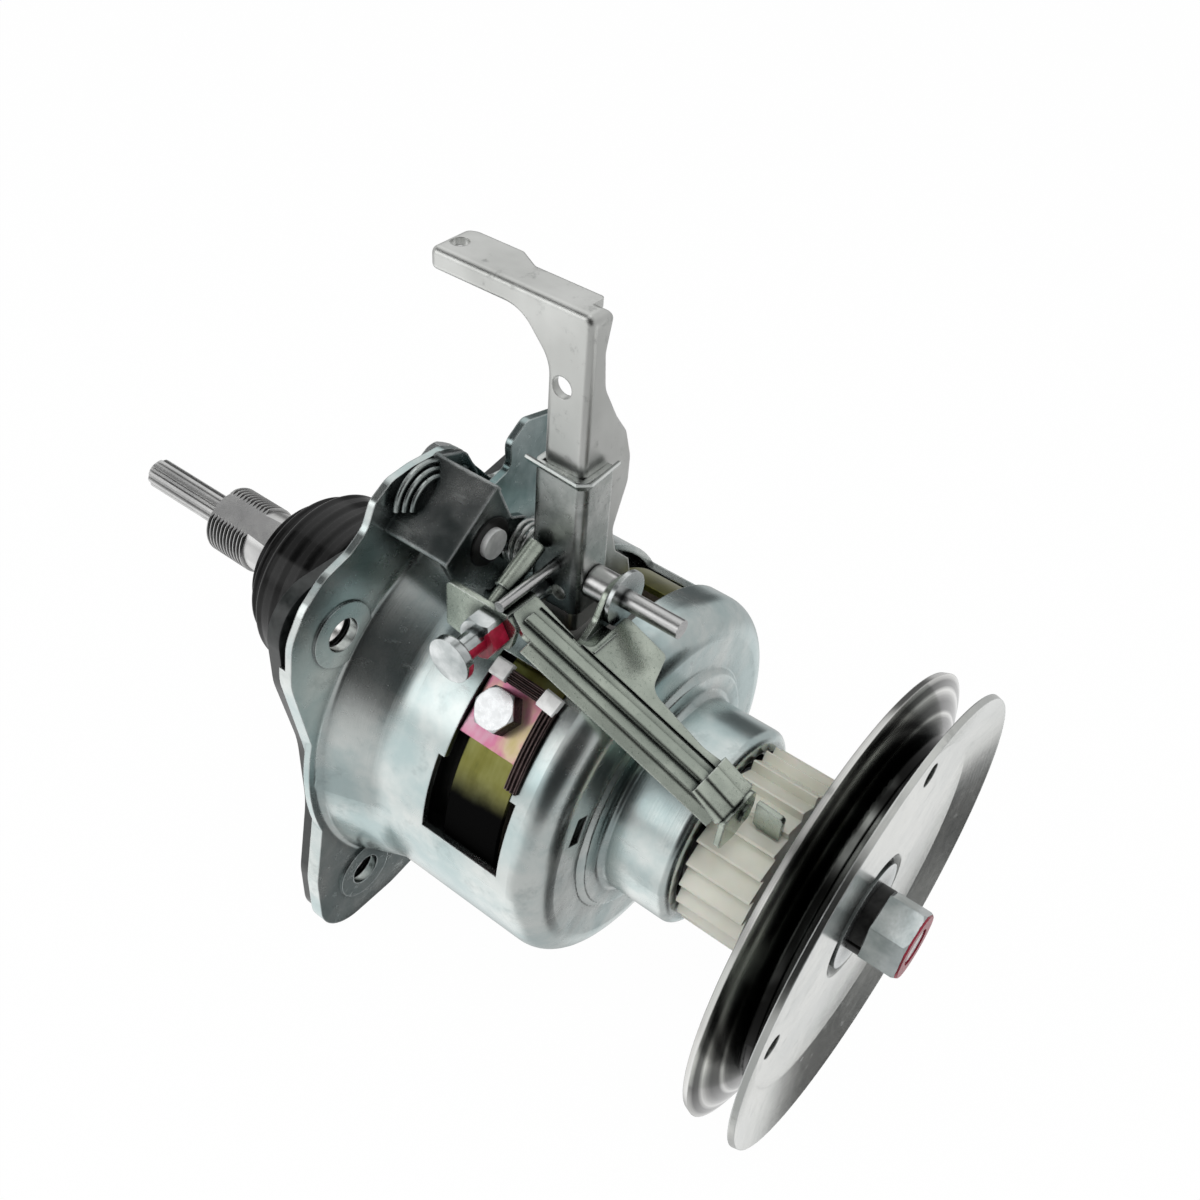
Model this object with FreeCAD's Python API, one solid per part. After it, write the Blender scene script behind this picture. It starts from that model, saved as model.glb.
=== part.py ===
import FreeCAD, Part
import math
import os
from FreeCAD import Vector

# Washing machine clutch. X runs along the shafts, from the pulley (-X) to the splined shaft (+X).
# Z is up, with the brake lever on top. The origin is the centre of the flange bolt circle, on the
# face that seats against the machine. All lengths are in millimetres and all angles in degrees.

# sheet and plate thicknesses
housing_sheet = 2.0
upper_plate = 4.0
pulley_sheet = 1.6
bracket_sheet = 2.0
lever_sheet = 2.0

# mounting flange
flange_half = 62.4
flange_waist = 57.8
flange_corner = 16.5
flange_rim = 4.0
rim_top_z = 44.0
rear_inset = 1.2
ear_edge = [(-36.0, 62.4, 20.0), (-20.0, 60.5, 20.0), (-8.0, 62.0, 6.0), (-1.3, 70.1, 8.0),
            (3.5, 77.5, 5.0), (9.3, 80.4, 5.0), (20.0, 81.0, 8.0), (27.0, 80.4, 6.0), (32.6, 77.0, 3.5),
            (35.4, 71.0, 6.0), (41.0, 67.3, 8.0), (49.0, 65.0, 8.0), (56.0, 59.5, 10.0),
            (60.8, 52.0, 12.0), (62.4, 40.0, 16.0)]
bolt_circle_r = 64.7
bolt_hole_r = 4.6
boss_ring_r = 9.0

# drum housing
housing_r = 52.3
housing_depth = 66.0
housing_nose = 8.5
bell_length = 16.0
bell_r = 58.0
neck_r = 28.0
neck_length = 21.5
neck_lip_r = 23.0
ring_r = 34.0
ring_height = 1.5

# windows in the drum housing: ends along X from the flange front, and their angles
window_near = 30.5
window_far = 54.5
window_step = 1.8
window_low_angle = 5.5
window_step_angle = 29.5
window_high_angle = 62.0
top_window_near = 28.0
top_window_far = 52.5
top_window_low = 71.0
top_window_high = 148.0
peep_slot_length = 8.0
peep_slot_width = 4.0
peep_slot_r = 39.6
peep_slot_angle = 24.5

# upper bearing housing and seal
boss_r = 26.5
boss_base_r = 44.0
boss_base_length = 14.0
boss_length = 48.0
boss_wall = 3.0
boss_lip_r = 20.0
seal_length = 18.5
seal_mouth_r = 13.0
seal_grip = 22.0
seal_wall = 1.3

# ball bearings on the spin shaft
bearing_bore_r = 12.5
lower_bearing_r = 26.0
lower_bearing_width = 15.0
upper_bearing_r = 23.5
upper_bearing_width = 12.0
ball_share = 0.29
ball_count = 9
ball_clearance = 0.05

# spin shaft, outer
spin_r = 11.0
spin_bore_r = 6.0
spin_end = 93.5
thread_length = 17.0
thread_pitch = 1.5
thread_depth = 0.9
flat_length = 30.0
flat_half = 9.3

# pulsator shaft, inner
spline_r = 4.95
spline_root_r = 4.2
spline_teeth = 11
spline_end = 130.2
pulsator_r = 4.9
bush_length = 12.0
shaft_gap = 0.05

# brake drum and gears
drum_r = 44.0
drum_sheet = 2.5
drum_start = 70.0
drum_end = 19.5
gear_module = 0.8
sun_teeth = 18
planet_teeth = 30
ring_teeth = 78
planet_count = 4
gear_width = 14.0
gear_middle = 48.0
gear_backlash = 0.12
pressure_angle = 20.0
carrier_plate = 3.5
post_circle_r = 23.5
post_r = 2.5
planet_pin_r = 3.0
hub_bore_r = 8.2
hub_end = 105.0

# brake band
lining_gap = 0.3
lining_thickness = 2.7
band_thickness = 1.5
band_width = 16.0
band_middle = 50.5
band_fixed_angle = 67.0
band_free_angle = 112.0
anchor_angle = 48.0
anchor_x = -49.7
anchor_bolt_x = -48.2
anchor_side = 18.0
anchor_thickness = 2.0
anchor_head_r = 5.75
anchor_head_height = 5.0
anchor_bolt_r = 3.0

# input side
input_r = 7.0
input_stub_r = 5.0
clutch_bush_r = 12.5
clutch_wire = 2.2
clutch_spring_start = 97.2
clutch_spring_end = 113.0
clutch_turns = 4
ratchet_r = 24.6
ratchet_tooth = 2.8
ratchet_teeth = 24
ratchet_start = 114.5
ratchet_end = 96.5
ratchet_wall_r = 13.3
ratchet_phase = 68.0

# pulley
pulley_r = 61.25
pulley_rim_gap = 12.6
pulley_front_x = -138.5
pulley_dish = 3.6
pulley_bend_r = 47.4
pulley_recess = 1.5
pulley_recess_r = 17.0
groove_floor = 2.5
dimple_circle_r = 41.0
dimple_r = 3.2
dimple_start_angle = 112.0
dimple_count = 3
hub_washer_r = 14.5
hub_washer_thickness = 1.8
spring_washer_r = 9.0
spring_washer_thickness = 3.4
nut_corner_r = 9.6
nut_height = 10.0

# brake lever, on a pin parallel to the shafts
pin_y = 5.4
pin_z = 61.7
pin_r = 2.4
pin_far_x = -76.5
pin_gap = 0.06
lever_x = -49.5
lever_width = 11.5
lever_front_y = 10.0
lever_top_z = 131.5
lever_foot_z = 47.0
flange_top_z = 86.0
arm_end_x = -5.0
arm_height = 5.4
arm_hole_x = -8.4
arm_hole_y = 3.8
arm_hole_r = 2.1
leg_hole_x = -42.4
leg_hole_z = 112.8
leg_hole_r = 2.6
lever_bend_r = 1.8
wrap_sheet = 1.5
wrap_top_z = 92.4
wrap_bottom_z = 54.0
wrap_depth = 9.0
wrap_hole_x = -45.6
wrap_hole_z = 58.8
wrap_hole_r = 2.0
cross_pin_r = 1.35
cross_pin_x = -44.6
cross_pin_z = 66.9
cross_pin_end_y = 31.5
washer_r = 7.0
washer_thickness = 1.2
washer_x = -59.6
sleeve_r = 4.2

# pawl fork, which swings on the same pin; widths along y, lengths down its slope
fork_x = -46.2
fork_z = 65.2
fork_slope = 27.4
fork_length = 65.5
fork_sheet = 1.5
strip_right_y = 21.1
strip_left_y = 31.6
level_length = 3.3
strip_waist_y = 15.0
tip_right_y = 11.6
tip_left_y = 24.7
wing_start = 17.4
wing_end = 32.6
wing_right_y = 5.0
rib_width = 3.6
rib_height = 1.3
rib_r = 0.9
rib_start = 3.5
rib_near_y = 27.4
rib_far_y = 19.9
groove_width = 0.9
groove_depth = 0.6
groove_offset = -4.3
side_flange = 3.2
head_length = 9.0
head_height = 2.0
lip_depth = 10.8
lip_rivet_r = 2.2
ear_half = 5.0
ear_x = -59.4
pawl_length = 7.3
pawl_y = 11.0
pawl_top_z = 29.0
pawl_bottom_z = 21.2
pawl_thickness = 1.5

# adjusting screw, held level in the fork's lug, its end against the lever
jack_x = -41.9
jack_z = 58.5
jack_head_y = 45.2
jack_r = 3.0
jack_head_r = 5.7
jack_head_height = 2.6
jack_nut_r = 5.6
jack_nut_height = 5.0
jack_tip_r = 2.4
touch_gap = 0.5
lug_y = 31.0
lug_near_x = -28.2
lug_top_z = 64.9
lug_low_z = 51.0
lug_far = 5.6

# necked stub that rises from the lug towards the lever
stub_x = -40.0
stub_root_z = 62.15
stub_tilt = 28.1
stub_neck_r = 1.7
stub_neck_length = 6.3
stub_r = 2.4

# bracket on the flange
bracket_front_x = -27.5
bracket_top_right = (12.4, 81.2)
bracket_top_left = (30.4, 68.2)
rivet_y = 15.3
rivet_z = 66.5
rivet_r = 3.9
rivet_head = 1.6
bush_r = 6.3
support_x = -18.0
support_top_z = 84.0
coil_r = 6.2
coil_wire = 1.3
coil_turns = 4
bracket_bolt_r = 3.0
bracket_head_r = 6.4
bracket_head_height = 5.0
bracket_bolts = [(20.0, 69.6), (6.5, 71.5)]

# places worked out from the sizes above
flange_front_x = -(upper_plate + flange_rim)
housing_end_x = flange_front_x - housing_depth
neck_end_x = housing_end_x - neck_length
housing_inner_r = housing_r - housing_sheet
lower_bearing_end = neck_end_x + housing_sheet + lower_bearing_width
lining_r = drum_r + lining_gap
band_r = lining_r + lining_thickness
band_outer_r = band_r + band_thickness
centre_distance = gear_module * (sun_teeth + planet_teeth) / 2
rear_front_x = pulley_front_x + pulley_dish + pulley_sheet
pulley_seat_x = pulley_front_x + pulley_dish + pulley_recess + 2 * pulley_sheet
hub_face_x = pulley_front_x + pulley_dish + pulley_recess
ratchet_bore_r = clutch_bush_r + shaft_gap + clutch_wire + 0.01

# places inside that follow from the sizes above
bush_gap_r = 1.5
sun_bore_r = 5.0
carrier_main_x = -gear_middle + gear_width / 2 + 1.0
carrier_front_x = -gear_middle - gear_width / 2 - 1.0
washer_front_x = hub_face_x - hub_washer_thickness
nut_seat_x = washer_front_x - spring_washer_thickness
stub_end_x = nut_seat_x - nut_height + 0.3


def on_xr(a, b):
    return Vector(a, b, 0)


def on_yz(x):
    return lambda a, b: Vector(x, a, b)


def on_xz(y):
    return lambda a, b: Vector(a, y, b)


def on_xy(z):
    return lambda a, b: Vector(a, b, z)


# A closed outline from corners (a, b) or (a, b, fillet radius), with tangent arcs at the fillets.
def outline(corners, place):
    points = [(c[0], c[1], c[2] if len(c) > 2 else 0.0) for c in corners]
    count = len(points)
    starts, mids, ends = [], [], []
    for i in range(count):
        a, b, radius = points[i]
        before, after = points[i - 1], points[(i + 1) % count]
        u = (before[0] - a, before[1] - b)
        v = (after[0] - a, after[1] - b)
        lu, lv = math.hypot(*u), math.hypot(*v)
        u = (u[0] / lu, u[1] / lu)
        v = (v[0] / lv, v[1] / lv)
        half = math.acos(max(-1.0, min(1.0, u[0] * v[0] + u[1] * v[1]))) / 2
        if radius <= 0 or half > math.radians(89.5):
            starts.append((a, b))
            mids.append(None)
            ends.append((a, b))
            continue
        run = min(radius / math.tan(half), 0.49 * lu, 0.49 * lv)
        radius = run * math.tan(half)
        bisector = (u[0] + v[0], u[1] + v[1])
        size = math.hypot(*bisector)
        bisector = (bisector[0] / size, bisector[1] / size)
        reach = radius / math.sin(half) - radius
        starts.append((a + run * u[0], b + run * u[1]))
        mids.append((a + reach * bisector[0], b + reach * bisector[1]))
        ends.append((a + run * v[0], b + run * v[1]))
    edges = []
    for i in range(count):
        if mids[i]:
            edges.append(Part.Arc(place(*starts[i]), place(*mids[i]), place(*ends[i])).toShape())
        leave, arrive = ends[i], starts[(i + 1) % count]
        if math.hypot(leave[0] - arrive[0], leave[1] - arrive[1]) > 1e-6:
            edges.append(Part.LineSegment(place(*leave), place(*arrive)).toShape())
    return Part.Wire(edges)


def face(corners, place):
    return Part.Face(outline(corners, place))


# A ring about the X axis from corners (x, r).
def turned(corners):
    return face(corners, on_xr).revolve(Vector(0, 0, 0), Vector(1, 0, 0), 360)


# The closed outline of a sheet from one surface path (x, r, fillet) and its thickness to the right.
def sheet_outline(path, thickness):
    points = [(p[0], p[1], p[2] if len(p) > 2 else 0.0) for p in path]
    steps = []
    for first, second in zip(points, points[1:]):
        length = math.hypot(second[0] - first[0], second[1] - first[1])
        steps.append(((second[0] - first[0]) / length, (second[1] - first[1]) / length))
    back = []
    for i, (a, b, radius) in enumerate(points):
        into = steps[max(i - 1, 0)]
        out = steps[min(i, len(steps) - 1)]
        n1, n2 = (into[1], -into[0]), (out[1], -out[0])
        scale = thickness / (1 + n1[0] * n2[0] + n1[1] * n2[1])
        turn = into[0] * out[1] - into[1] * out[0]
        inner = radius + thickness if turn > 0 else max(radius - thickness, 0.0)
        inner = inner if radius > 0 else 0.0
        back.append((a + scale * (n1[0] + n2[0]), b + scale * (n1[1] + n2[1]), inner))
    return points + back[::-1]


def turned_sheet(path, thickness):
    return turned(sheet_outline(path, thickness))


def rod(x_start, x_end, radius, y=0.0, z=0.0):
    return Part.makeCylinder(radius, x_end - x_start, Vector(x_start, y, z), Vector(1, 0, 0))


def ring(x_start, x_end, outer, inner, y=0.0, z=0.0):
    return rod(x_start, x_end, outer, y, z).cut(rod(x_start - 1, x_end + 1, inner, y, z))


def block(x0, x1, y0, y1, z0, z1):
    return Part.makeBox(x1 - x0, y1 - y0, z1 - z0, Vector(x0, y0, z0))


def plate_yz(corners, x, thickness):
    return face(corners, on_yz(x)).extrude(Vector(thickness, 0, 0))


def plate_xz(corners, y, thickness):
    return face(corners, on_xz(y)).extrude(Vector(0, thickness, 0))


def turn_about_x(shape, angle, y=0.0, z=0.0):
    copy = shape.copy()
    copy.rotate(Vector(0, y, z), Vector(1, 0, 0), angle)
    return copy


def hexagon(corner_r, height, start, direction):
    points = [(corner_r * math.cos(math.radians(60 * k)), corner_r * math.sin(math.radians(60 * k)))
              for k in range(6)]
    prism = face(points, on_xy(0)).extrude(Vector(0, 0, height))
    chamfer = Part.makeCone(corner_r * 0.99 + height, corner_r * 0.88, height + corner_r * 0.13,
                            Vector(0, 0, -corner_r * 0.13), Vector(0, 0, 1))
    prism = prism.common(chamfer)
    prism.Placement = FreeCAD.Placement(start, FreeCAD.Rotation(Vector(0, 0, 1), direction))
    return prism


# A wedge-shaped cutter about the X axis, from one angle to another.
def sector(x_start, x_end, inner, outer, low, high):
    wedge = Part.makeCylinder(outer, x_end - x_start, Vector(x_start, 0, 0), Vector(1, 0, 0), high - low)
    wedge = wedge.cut(rod(x_start - 1, x_end + 1, inner))
    # the cylinder's own start direction about X is found from its flat face and turned to the low angle
    centre = wedge.Solids[0].CenterOfMass
    present = math.degrees(math.atan2(centre.z, centre.y))
    return turn_about_x(wedge, (low + high) / 2 - present)


# A round wire along a helix about an axis parallel to X.
# Two arcs that join two points and keep the tangent at each.
def biarc(start, start_way, end, end_way):
    chord = end - start
    both = start_way + end_way
    spread = 2 * (1 - start_way.dot(end_way))
    reach = (math.sqrt(chord.dot(both) ** 2 + spread * chord.dot(chord)) - chord.dot(both)) / spread
    corner_a, corner_b = start + start_way * reach, end - end_way * reach
    join = (corner_a + corner_b) * 0.5
    return [tangent_arc(start, corner_a, join), tangent_arc(join, corner_b, end)]


# The arc between two points whose tangents meet at a corner as far from one as from the other.
def tangent_arc(start, corner, end):
    middle = (start + end) * 0.5
    half, depth = (end - start).Length / 2, (corner - middle).Length
    radius = half * (corner - start).Length / depth
    rise = radius - math.sqrt(radius * radius - half * half)
    return Part.Arc(start, middle + (corner - middle) * (rise / depth), end).toShape()


# A helical wire spring about a line along X, built up from quarter turns.
def coil(x_start, x_end, mean_r, wire, turns, start_angle, y=0.0, z=0.0):
    pitch = (x_end - x_start) / turns
    rise = pitch / (2 * math.pi)
    size = math.hypot(rise, mean_r)

    def place(k):
        angle = math.radians(start_angle + 90 * k)
        return Vector(x_start + pitch * k / 4, y + mean_r * math.cos(angle), z + mean_r * math.sin(angle))

    def way(k):
        angle = math.radians(start_angle + 90 * k)
        return Vector(rise, -mean_r * math.sin(angle), mean_r * math.cos(angle)) * (1 / size)

    edges = []
    for k in range(round(4 * turns)):
        edges += biarc(place(k), way(k), place(k + 1), way(k + 1))
    section = Part.Wire(Part.makeCircle(wire / 2, place(0), way(0)))
    places = [place(k / 6) for k in range(24 * turns)]
    apart = [a.distanceToPoint(b) for i, a in enumerate(places) for b in places[i + 12:]]
    print("coil of", turns, "turns, least gap to itself", round(min(apart) - wire, 2))
    return Part.Wire(edges).makePipeShell([section], True, False)


# A square with rounded corner lobes and slightly hollow sides.
def plate_outline(inset):
    half, waist, corner = flange_half - inset, flange_waist - inset, flange_corner
    side = [(waist, 12.0, 40.0), (half, 36.0, 20.0), (half, half, corner), (36.0, half, 20.0),
            (12.0, waist, 40.0)]
    corners = []
    for a, b in ((1, 1), (-1, 1), (-1, -1), (1, -1)):
        quarter = [(a * y, b * z, r) for y, z, r in side]
        corners += quarter if a * b > 0 else quarter[::-1]
    return corners


# The front sheet has the same outline with an ear in place of its top side.
def ear_outline(inset=0.0):
    lower = plate_outline(inset)[8:] + plate_outline(inset)[:1]
    middle = [(y - inset * 0.9 * (1 if y > 10 else -1), z - inset * 0.9, max(r - inset, 0.5))
              for y, z, r in reversed(ear_edge)]
    return lower + middle + plate_outline(inset)[7:8]


def bolt_places(radius):
    diagonal = radius / math.sqrt(2)
    return [(sy * diagonal, sz * diagonal) for sy in (1, -1) for sz in (1, -1)]


def housing_path():
    return [(neck_end_x, neck_lip_r), (neck_end_x, neck_r, 2.4),
            (housing_end_x - ring_height, neck_r, 2.0),
            (housing_end_x - ring_height, ring_r, 0.7),
            (housing_end_x, ring_r + ring_height, 0.7),
            (housing_end_x, housing_r, housing_nose),
            (flange_front_x - bell_length, housing_r, 14.0),
            (flange_front_x, bell_r, 3.0), (flange_front_x, bell_r + 3.0)]


def drum_housing():
    shell = turned_sheet(housing_path(), housing_sheet)
    plate = plate_yz(ear_outline(), flange_front_x, housing_sheet)
    rim = plate_yz(ear_outline(), flange_front_x, flange_rim)
    rim = rim.cut(plate_yz(ear_outline(housing_sheet), flange_front_x - 1, flange_rim + 2))
    rim = rim.common(block(flange_front_x - 1, 1, -80, 80, -80, rim_top_z))
    plate = plate.fuse(rim).cut(rod(flange_front_x - 1, 0, bell_r + 1.0))
    body = shell.fuse(plate)
    for y, z in bolt_places(bolt_circle_r):
        pad = ring(flange_front_x - 0.6, flange_front_x + 0.5, boss_ring_r, bolt_hole_r, y, z)
        body = body.fuse(pad).cut(rod(flange_front_x - 2, 0, bolt_hole_r, y, z))
    for y, z in bracket_bolts:
        body = body.cut(rod(flange_front_x - 2, 0, bracket_bolt_r + 0.1, y, z))
    near, far = flange_front_x - window_near, flange_front_x - window_far
    low = sector(far, near, housing_inner_r - 4, housing_r + 4, window_low_angle, window_step_angle)
    high = sector(far + window_step, near - window_step, housing_inner_r - 4, housing_r + 4,
                  window_step_angle - 1, window_high_angle)
    top = sector(flange_front_x - top_window_far, flange_front_x - top_window_near,
                 housing_inner_r - 4, housing_r + 4, top_window_low, top_window_high)
    body = body.cut(low).cut(high).cut(top)
    slot = block(housing_end_x - 4, housing_end_x + 8, -peep_slot_length / 2, peep_slot_length / 2,
                 -peep_slot_width / 2, peep_slot_width / 2)
    slot.rotate(Vector(0, 0, 0), Vector(1, 0, 0), 90)
    slot.translate(Vector(0, peep_slot_r, 0))
    return body.cut(turn_about_x(slot, peep_slot_angle)).removeSplitter()


def bearing_housing():
    inner_base = boss_base_r - 5.0
    bore = boss_r - boss_wall
    plate = plate_yz(plate_outline(rear_inset), -upper_plate, upper_plate)
    plate = plate.cut(rod(-upper_plate - 1, 1, inner_base))
    boss = turned([(-upper_plate, inner_base), (-upper_plate, boss_base_r), (0, boss_base_r, 2.0),
                   (boss_base_length, boss_r, 8.0), (boss_length, boss_r, 2.0), (boss_length, boss_lip_r),
                   (boss_length - boss_wall, boss_lip_r), (boss_length - boss_wall, bore),
                   (boss_base_length - 2, bore, 4.0)])
    body = plate.fuse(boss)
    for y, z in bolt_places(bolt_circle_r):
        body = body.cut(rod(-upper_plate - 1, 1, bolt_hole_r, y, z))
    return body.removeSplitter()


# One deep-groove bearing: outer race, inner race and balls.
def bearing(x_start, outer_r, width):
    pitch = (bearing_bore_r + outer_r) / 2
    ball_r = ball_share * (outer_r - bearing_bore_r)
    middle = x_start + width / 2
    outer_track = Part.makeTorus(pitch, ball_r, Vector(middle, 0, 0), Vector(1, 0, 0))
    inner_track = Part.makeTorus(pitch, ball_r + ball_clearance, Vector(middle, 0, 0), Vector(1, 0, 0))
    outer = ring(x_start, x_start + width, outer_r, pitch + 0.45 * ball_r).cut(outer_track)
    inner = ring(x_start, x_start + width, pitch - 0.45 * ball_r, bearing_bore_r).cut(inner_track)
    balls = []
    for k in range(ball_count):
        angle = 2 * math.pi * k / ball_count
        balls.append(Part.makeSphere(ball_r, Vector(middle, pitch * math.cos(angle),
                                                    pitch * math.sin(angle))))
    return outer, inner, Part.makeCompound(balls)


# A ribbed rubber boot over the end of the boss, closing on the spin shaft.
def shaft_seal():
    lip = spin_r + shaft_gap
    start = boss_length
    end = start + seal_length
    cover = boss_r + seal_wall
    skirt = start - seal_grip
    return turned([(skirt, boss_r), (skirt, cover, 1.0), (skirt + 3.5, cover, 1.0), (skirt + 4.5, cover - 0.9, 0.5),
                   (skirt + 6.0, cover - 0.9, 0.5), (skirt + 7.0, cover, 1.0), (start + 2.5, cover, 2.0),
                   (start + 5.0, cover - 3.4, 0.8), (start + 6.5, cover - 3.6, 0.6), (start + 8.0, cover - 3.2, 1.0),
                   (start + 10.5, cover - 7.8, 0.8), (start + 12.0, cover - 8.0, 0.6),
                   (start + 13.2, cover - 7.8, 1.0), (end - 3.2, seal_mouth_r + 1.6, 0.8),
                   (end - 2.4, seal_mouth_r + 1.2, 0.6), (end - 1.6, seal_mouth_r + 1.0, 0.6),
                   (end, seal_mouth_r - 0.6, 0.6), (end, lip), (end - 3, lip), (start + 3, lip + 1.5),
                   (start - boss_wall, lip + 3), (start - boss_wall, boss_lip_r), (start, boss_lip_r),
                   (start, boss_r)])


def thread_rings(x_start, x_end, radius):
    count = int(round((x_end - x_start) / thread_pitch))
    corners = [(x_start, radius - thread_depth)]
    for k in range(count):
        x = x_start + k * thread_pitch
        corners += [(x + 0.15 * thread_pitch, radius - thread_depth), (x + 0.45 * thread_pitch, radius),
                    (x + 0.65 * thread_pitch, radius), (x + 0.95 * thread_pitch, radius - thread_depth)]
    return corners


def spin_shaft():
    thread_start = spin_end - thread_length
    shoulder = boss_length - 2.0
    corners = [(-drum_end, spin_bore_r + bush_gap_r), (-drum_end, bearing_bore_r), (shoulder, bearing_bore_r),
               (shoulder + 1.5, spin_r)]
    corners += thread_rings(thread_start, spin_end - 1.0, spin_r)
    corners += [(spin_end - 1.0, spin_r - thread_depth), (spin_end, spin_r - 1.6),
                (spin_end, spin_bore_r + bush_gap_r)]
    shaft = turned(corners)
    for side in (1, -1):
        low, high = (flat_half, flat_half + 8) if side > 0 else (-flat_half - 8, -flat_half)
        flat = block(spin_end - flat_length, spin_end + 1, -20, 20, low, high)
        shaft = shaft.cut(turn_about_x(flat, -22))
    return shaft


def shaft_bush(x_start):
    return ring(x_start, x_start + bush_length, spin_bore_r + bush_gap_r, pulsator_r + shaft_gap)


def splined_rod(x_start, x_end, outer, root, teeth):
    corners = []
    for k in range(teeth):
        centre = 2 * math.pi * k / teeth
        step = 2 * math.pi / teeth
        for share, radius in ((-0.30, root), (-0.17, outer), (0.17, outer), (0.30, root)):
            angle = centre + share * step
            corners.append((radius * math.cos(angle), radius * math.sin(angle)))
    bar = plate_yz(corners, x_start, x_end - x_start)
    tip = turned([(x_start - 1, 0), (x_start - 1, outer + 1), (x_end - 1.6, outer + 1),
                  (x_end - 1.6, outer), (x_end, outer - 1.6), (x_end, 0)])
    return bar.common(tip)


def pulsator_shaft():
    plain_end = spin_end - 3.0
    shaft = rod(carrier_main_x, plain_end + 0.01, pulsator_r)
    return shaft.fuse(splined_rod(plain_end, spline_end, spline_r, spline_root_r, spline_teeth))


def brake_drum():
    outer = [(-drum_start, drum_r), (-drum_end, drum_r, 3.5), (-drum_end, bearing_bore_r),
             (-drum_end - drum_sheet, bearing_bore_r), (-drum_end - drum_sheet, drum_r - drum_sheet, 1.0),
             (-drum_start, drum_r - drum_sheet)]
    cup = turned(outer)
    web = ring(-drum_end - drum_sheet, -drum_end, bearing_bore_r + 0.5, spin_bore_r + bush_gap_r)
    return cup.fuse(web)


def drum_cover():
    inner = drum_r - drum_sheet
    return turned([(-drum_start, inner), (-drum_start, bearing_bore_r + 3, 2.0),
                   (lower_bearing_end, bearing_bore_r + 3), (lower_bearing_end, bearing_bore_r),
                   (-hub_end, bearing_bore_r), (-hub_end, hub_bore_r + bush_gap_r),
                   (-drum_start + 2.5, hub_bore_r + bush_gap_r), (-drum_start + 2.5, inner)])


def hub_bush(x_start):
    return ring(x_start, x_start + bush_length, hub_bore_r + bush_gap_r, input_r + shaft_gap)


def involute(angle):
    return math.tan(angle) - angle


# Corners of an involute gear or, with widen below zero, of a thinned one.
def gear_corners(teeth, tip_r, root_r, widen, turn):
    pitch_r = gear_module * teeth / 2
    base_r = pitch_r * math.cos(math.radians(pressure_angle))
    half_pitch = math.pi / (2 * teeth) + widen / (2 * pitch_r)
    start_r = max(base_r * 1.001, root_r)
    corners = []
    flank = []
    for k in range(4):
        radius = start_r + (tip_r - start_r) * k / 3
        angle = half_pitch + involute(math.radians(pressure_angle)) - involute(math.acos(base_r / radius))
        flank.append((radius, angle))
    for k in range(teeth):
        centre = math.radians(turn) + 2 * math.pi * k / teeth
        side = [(root_r, -flank[0][1])] if root_r < start_r else []
        side += [(r, -a) for r, a in flank]
        side += [(r, a) for r, a in reversed(flank)]
        side += [(root_r, flank[0][1])] if root_r < start_r else []
        corners += [(r * math.cos(centre + a), r * math.sin(centre + a)) for r, a in side]
    return corners


def gear_span():
    return -gear_middle - gear_width / 2, gear_width


def sun_gear():
    pitch_r = gear_module * sun_teeth / 2
    x, width = gear_span()
    corners = gear_corners(sun_teeth, pitch_r + gear_module, pitch_r - 1.25 * gear_module,
                           -gear_backlash, 0)
    return plate_yz(corners, x - 1, width + 1.5).cut(rod(x - 3, x + width + 3, sun_bore_r))


def planet_place(k):
    angle = 2 * math.pi * k / planet_count
    return centre_distance * math.cos(angle), centre_distance * math.sin(angle), math.degrees(angle)


# A planet meshes with the sun when one of its gaps faces a sun tooth along the line of centres.
def planet_gear(k):
    pitch_r = gear_module * planet_teeth / 2
    x, width = gear_span()
    y, z, angle = planet_place(k)
    sun_phase = (angle / (360 / sun_teeth)) % 1.0
    gap_turn = 180 + angle + 180 / planet_teeth + sun_phase * 360 / planet_teeth
    corners = gear_corners(planet_teeth, pitch_r + gear_module, pitch_r - 1.25 * gear_module,
                           -gear_backlash, gap_turn)
    gear = plate_yz(corners, x, width).cut(rod(x - 1, x + width + 1, planet_pin_r + shaft_gap))
    gear.translate(Vector(0, y, z))
    return gear


# The ring's tooth spaces are the shape of a wide external gear, in mesh with the first planet.
def ring_gear():
    pitch_r = gear_module * ring_teeth / 2
    x, width = gear_span()
    planet_turn = 180 + 180 / planet_teeth
    outward = (-planet_turn / (360 / planet_teeth)) % 1.0
    corners = gear_corners(ring_teeth, pitch_r + 1.25 * gear_module, pitch_r - gear_module,
                           gear_backlash, -outward * 360 / ring_teeth)
    space = plate_yz(corners, x - 1, width + 2)
    return rod(x - 0.5, x + width + 0.5, drum_r - drum_sheet).cut(space)


def planet_carrier():
    plate = ring(carrier_main_x, carrier_main_x + carrier_plate, 27.0, pulsator_r)
    hub = ring(carrier_main_x, carrier_main_x + carrier_plate + 5, 11.0, pulsator_r)
    body = plate.fuse(hub)
    for k in range(planet_count):
        y, z, _ = planet_place(k)
        body = body.cut(rod(carrier_main_x - 1, carrier_main_x + 12, planet_pin_r, y, z))
    return body


def carrier_cover():
    body = ring(carrier_front_x - carrier_plate, carrier_front_x, 27.0, 9.2)
    for k in range(planet_count):
        y, z, _ = planet_place(k)
        body = body.cut(rod(carrier_front_x - 12, carrier_front_x + 1, planet_pin_r, y, z))
        angle = math.radians(45 + 360 * k / planet_count)
        y, z = post_circle_r * math.cos(angle), post_circle_r * math.sin(angle)
        post = rod(carrier_front_x - 0.01, carrier_main_x, post_r, y, z)
        body = body.fuse(post)
    return body


def planet_pins():
    pins = []
    for k in range(planet_count):
        y, z, _ = planet_place(k)
        pins.append(rod(carrier_front_x - carrier_plate, carrier_main_x + carrier_plate, planet_pin_r, y, z))
    return Part.makeCompound(pins)


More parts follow.
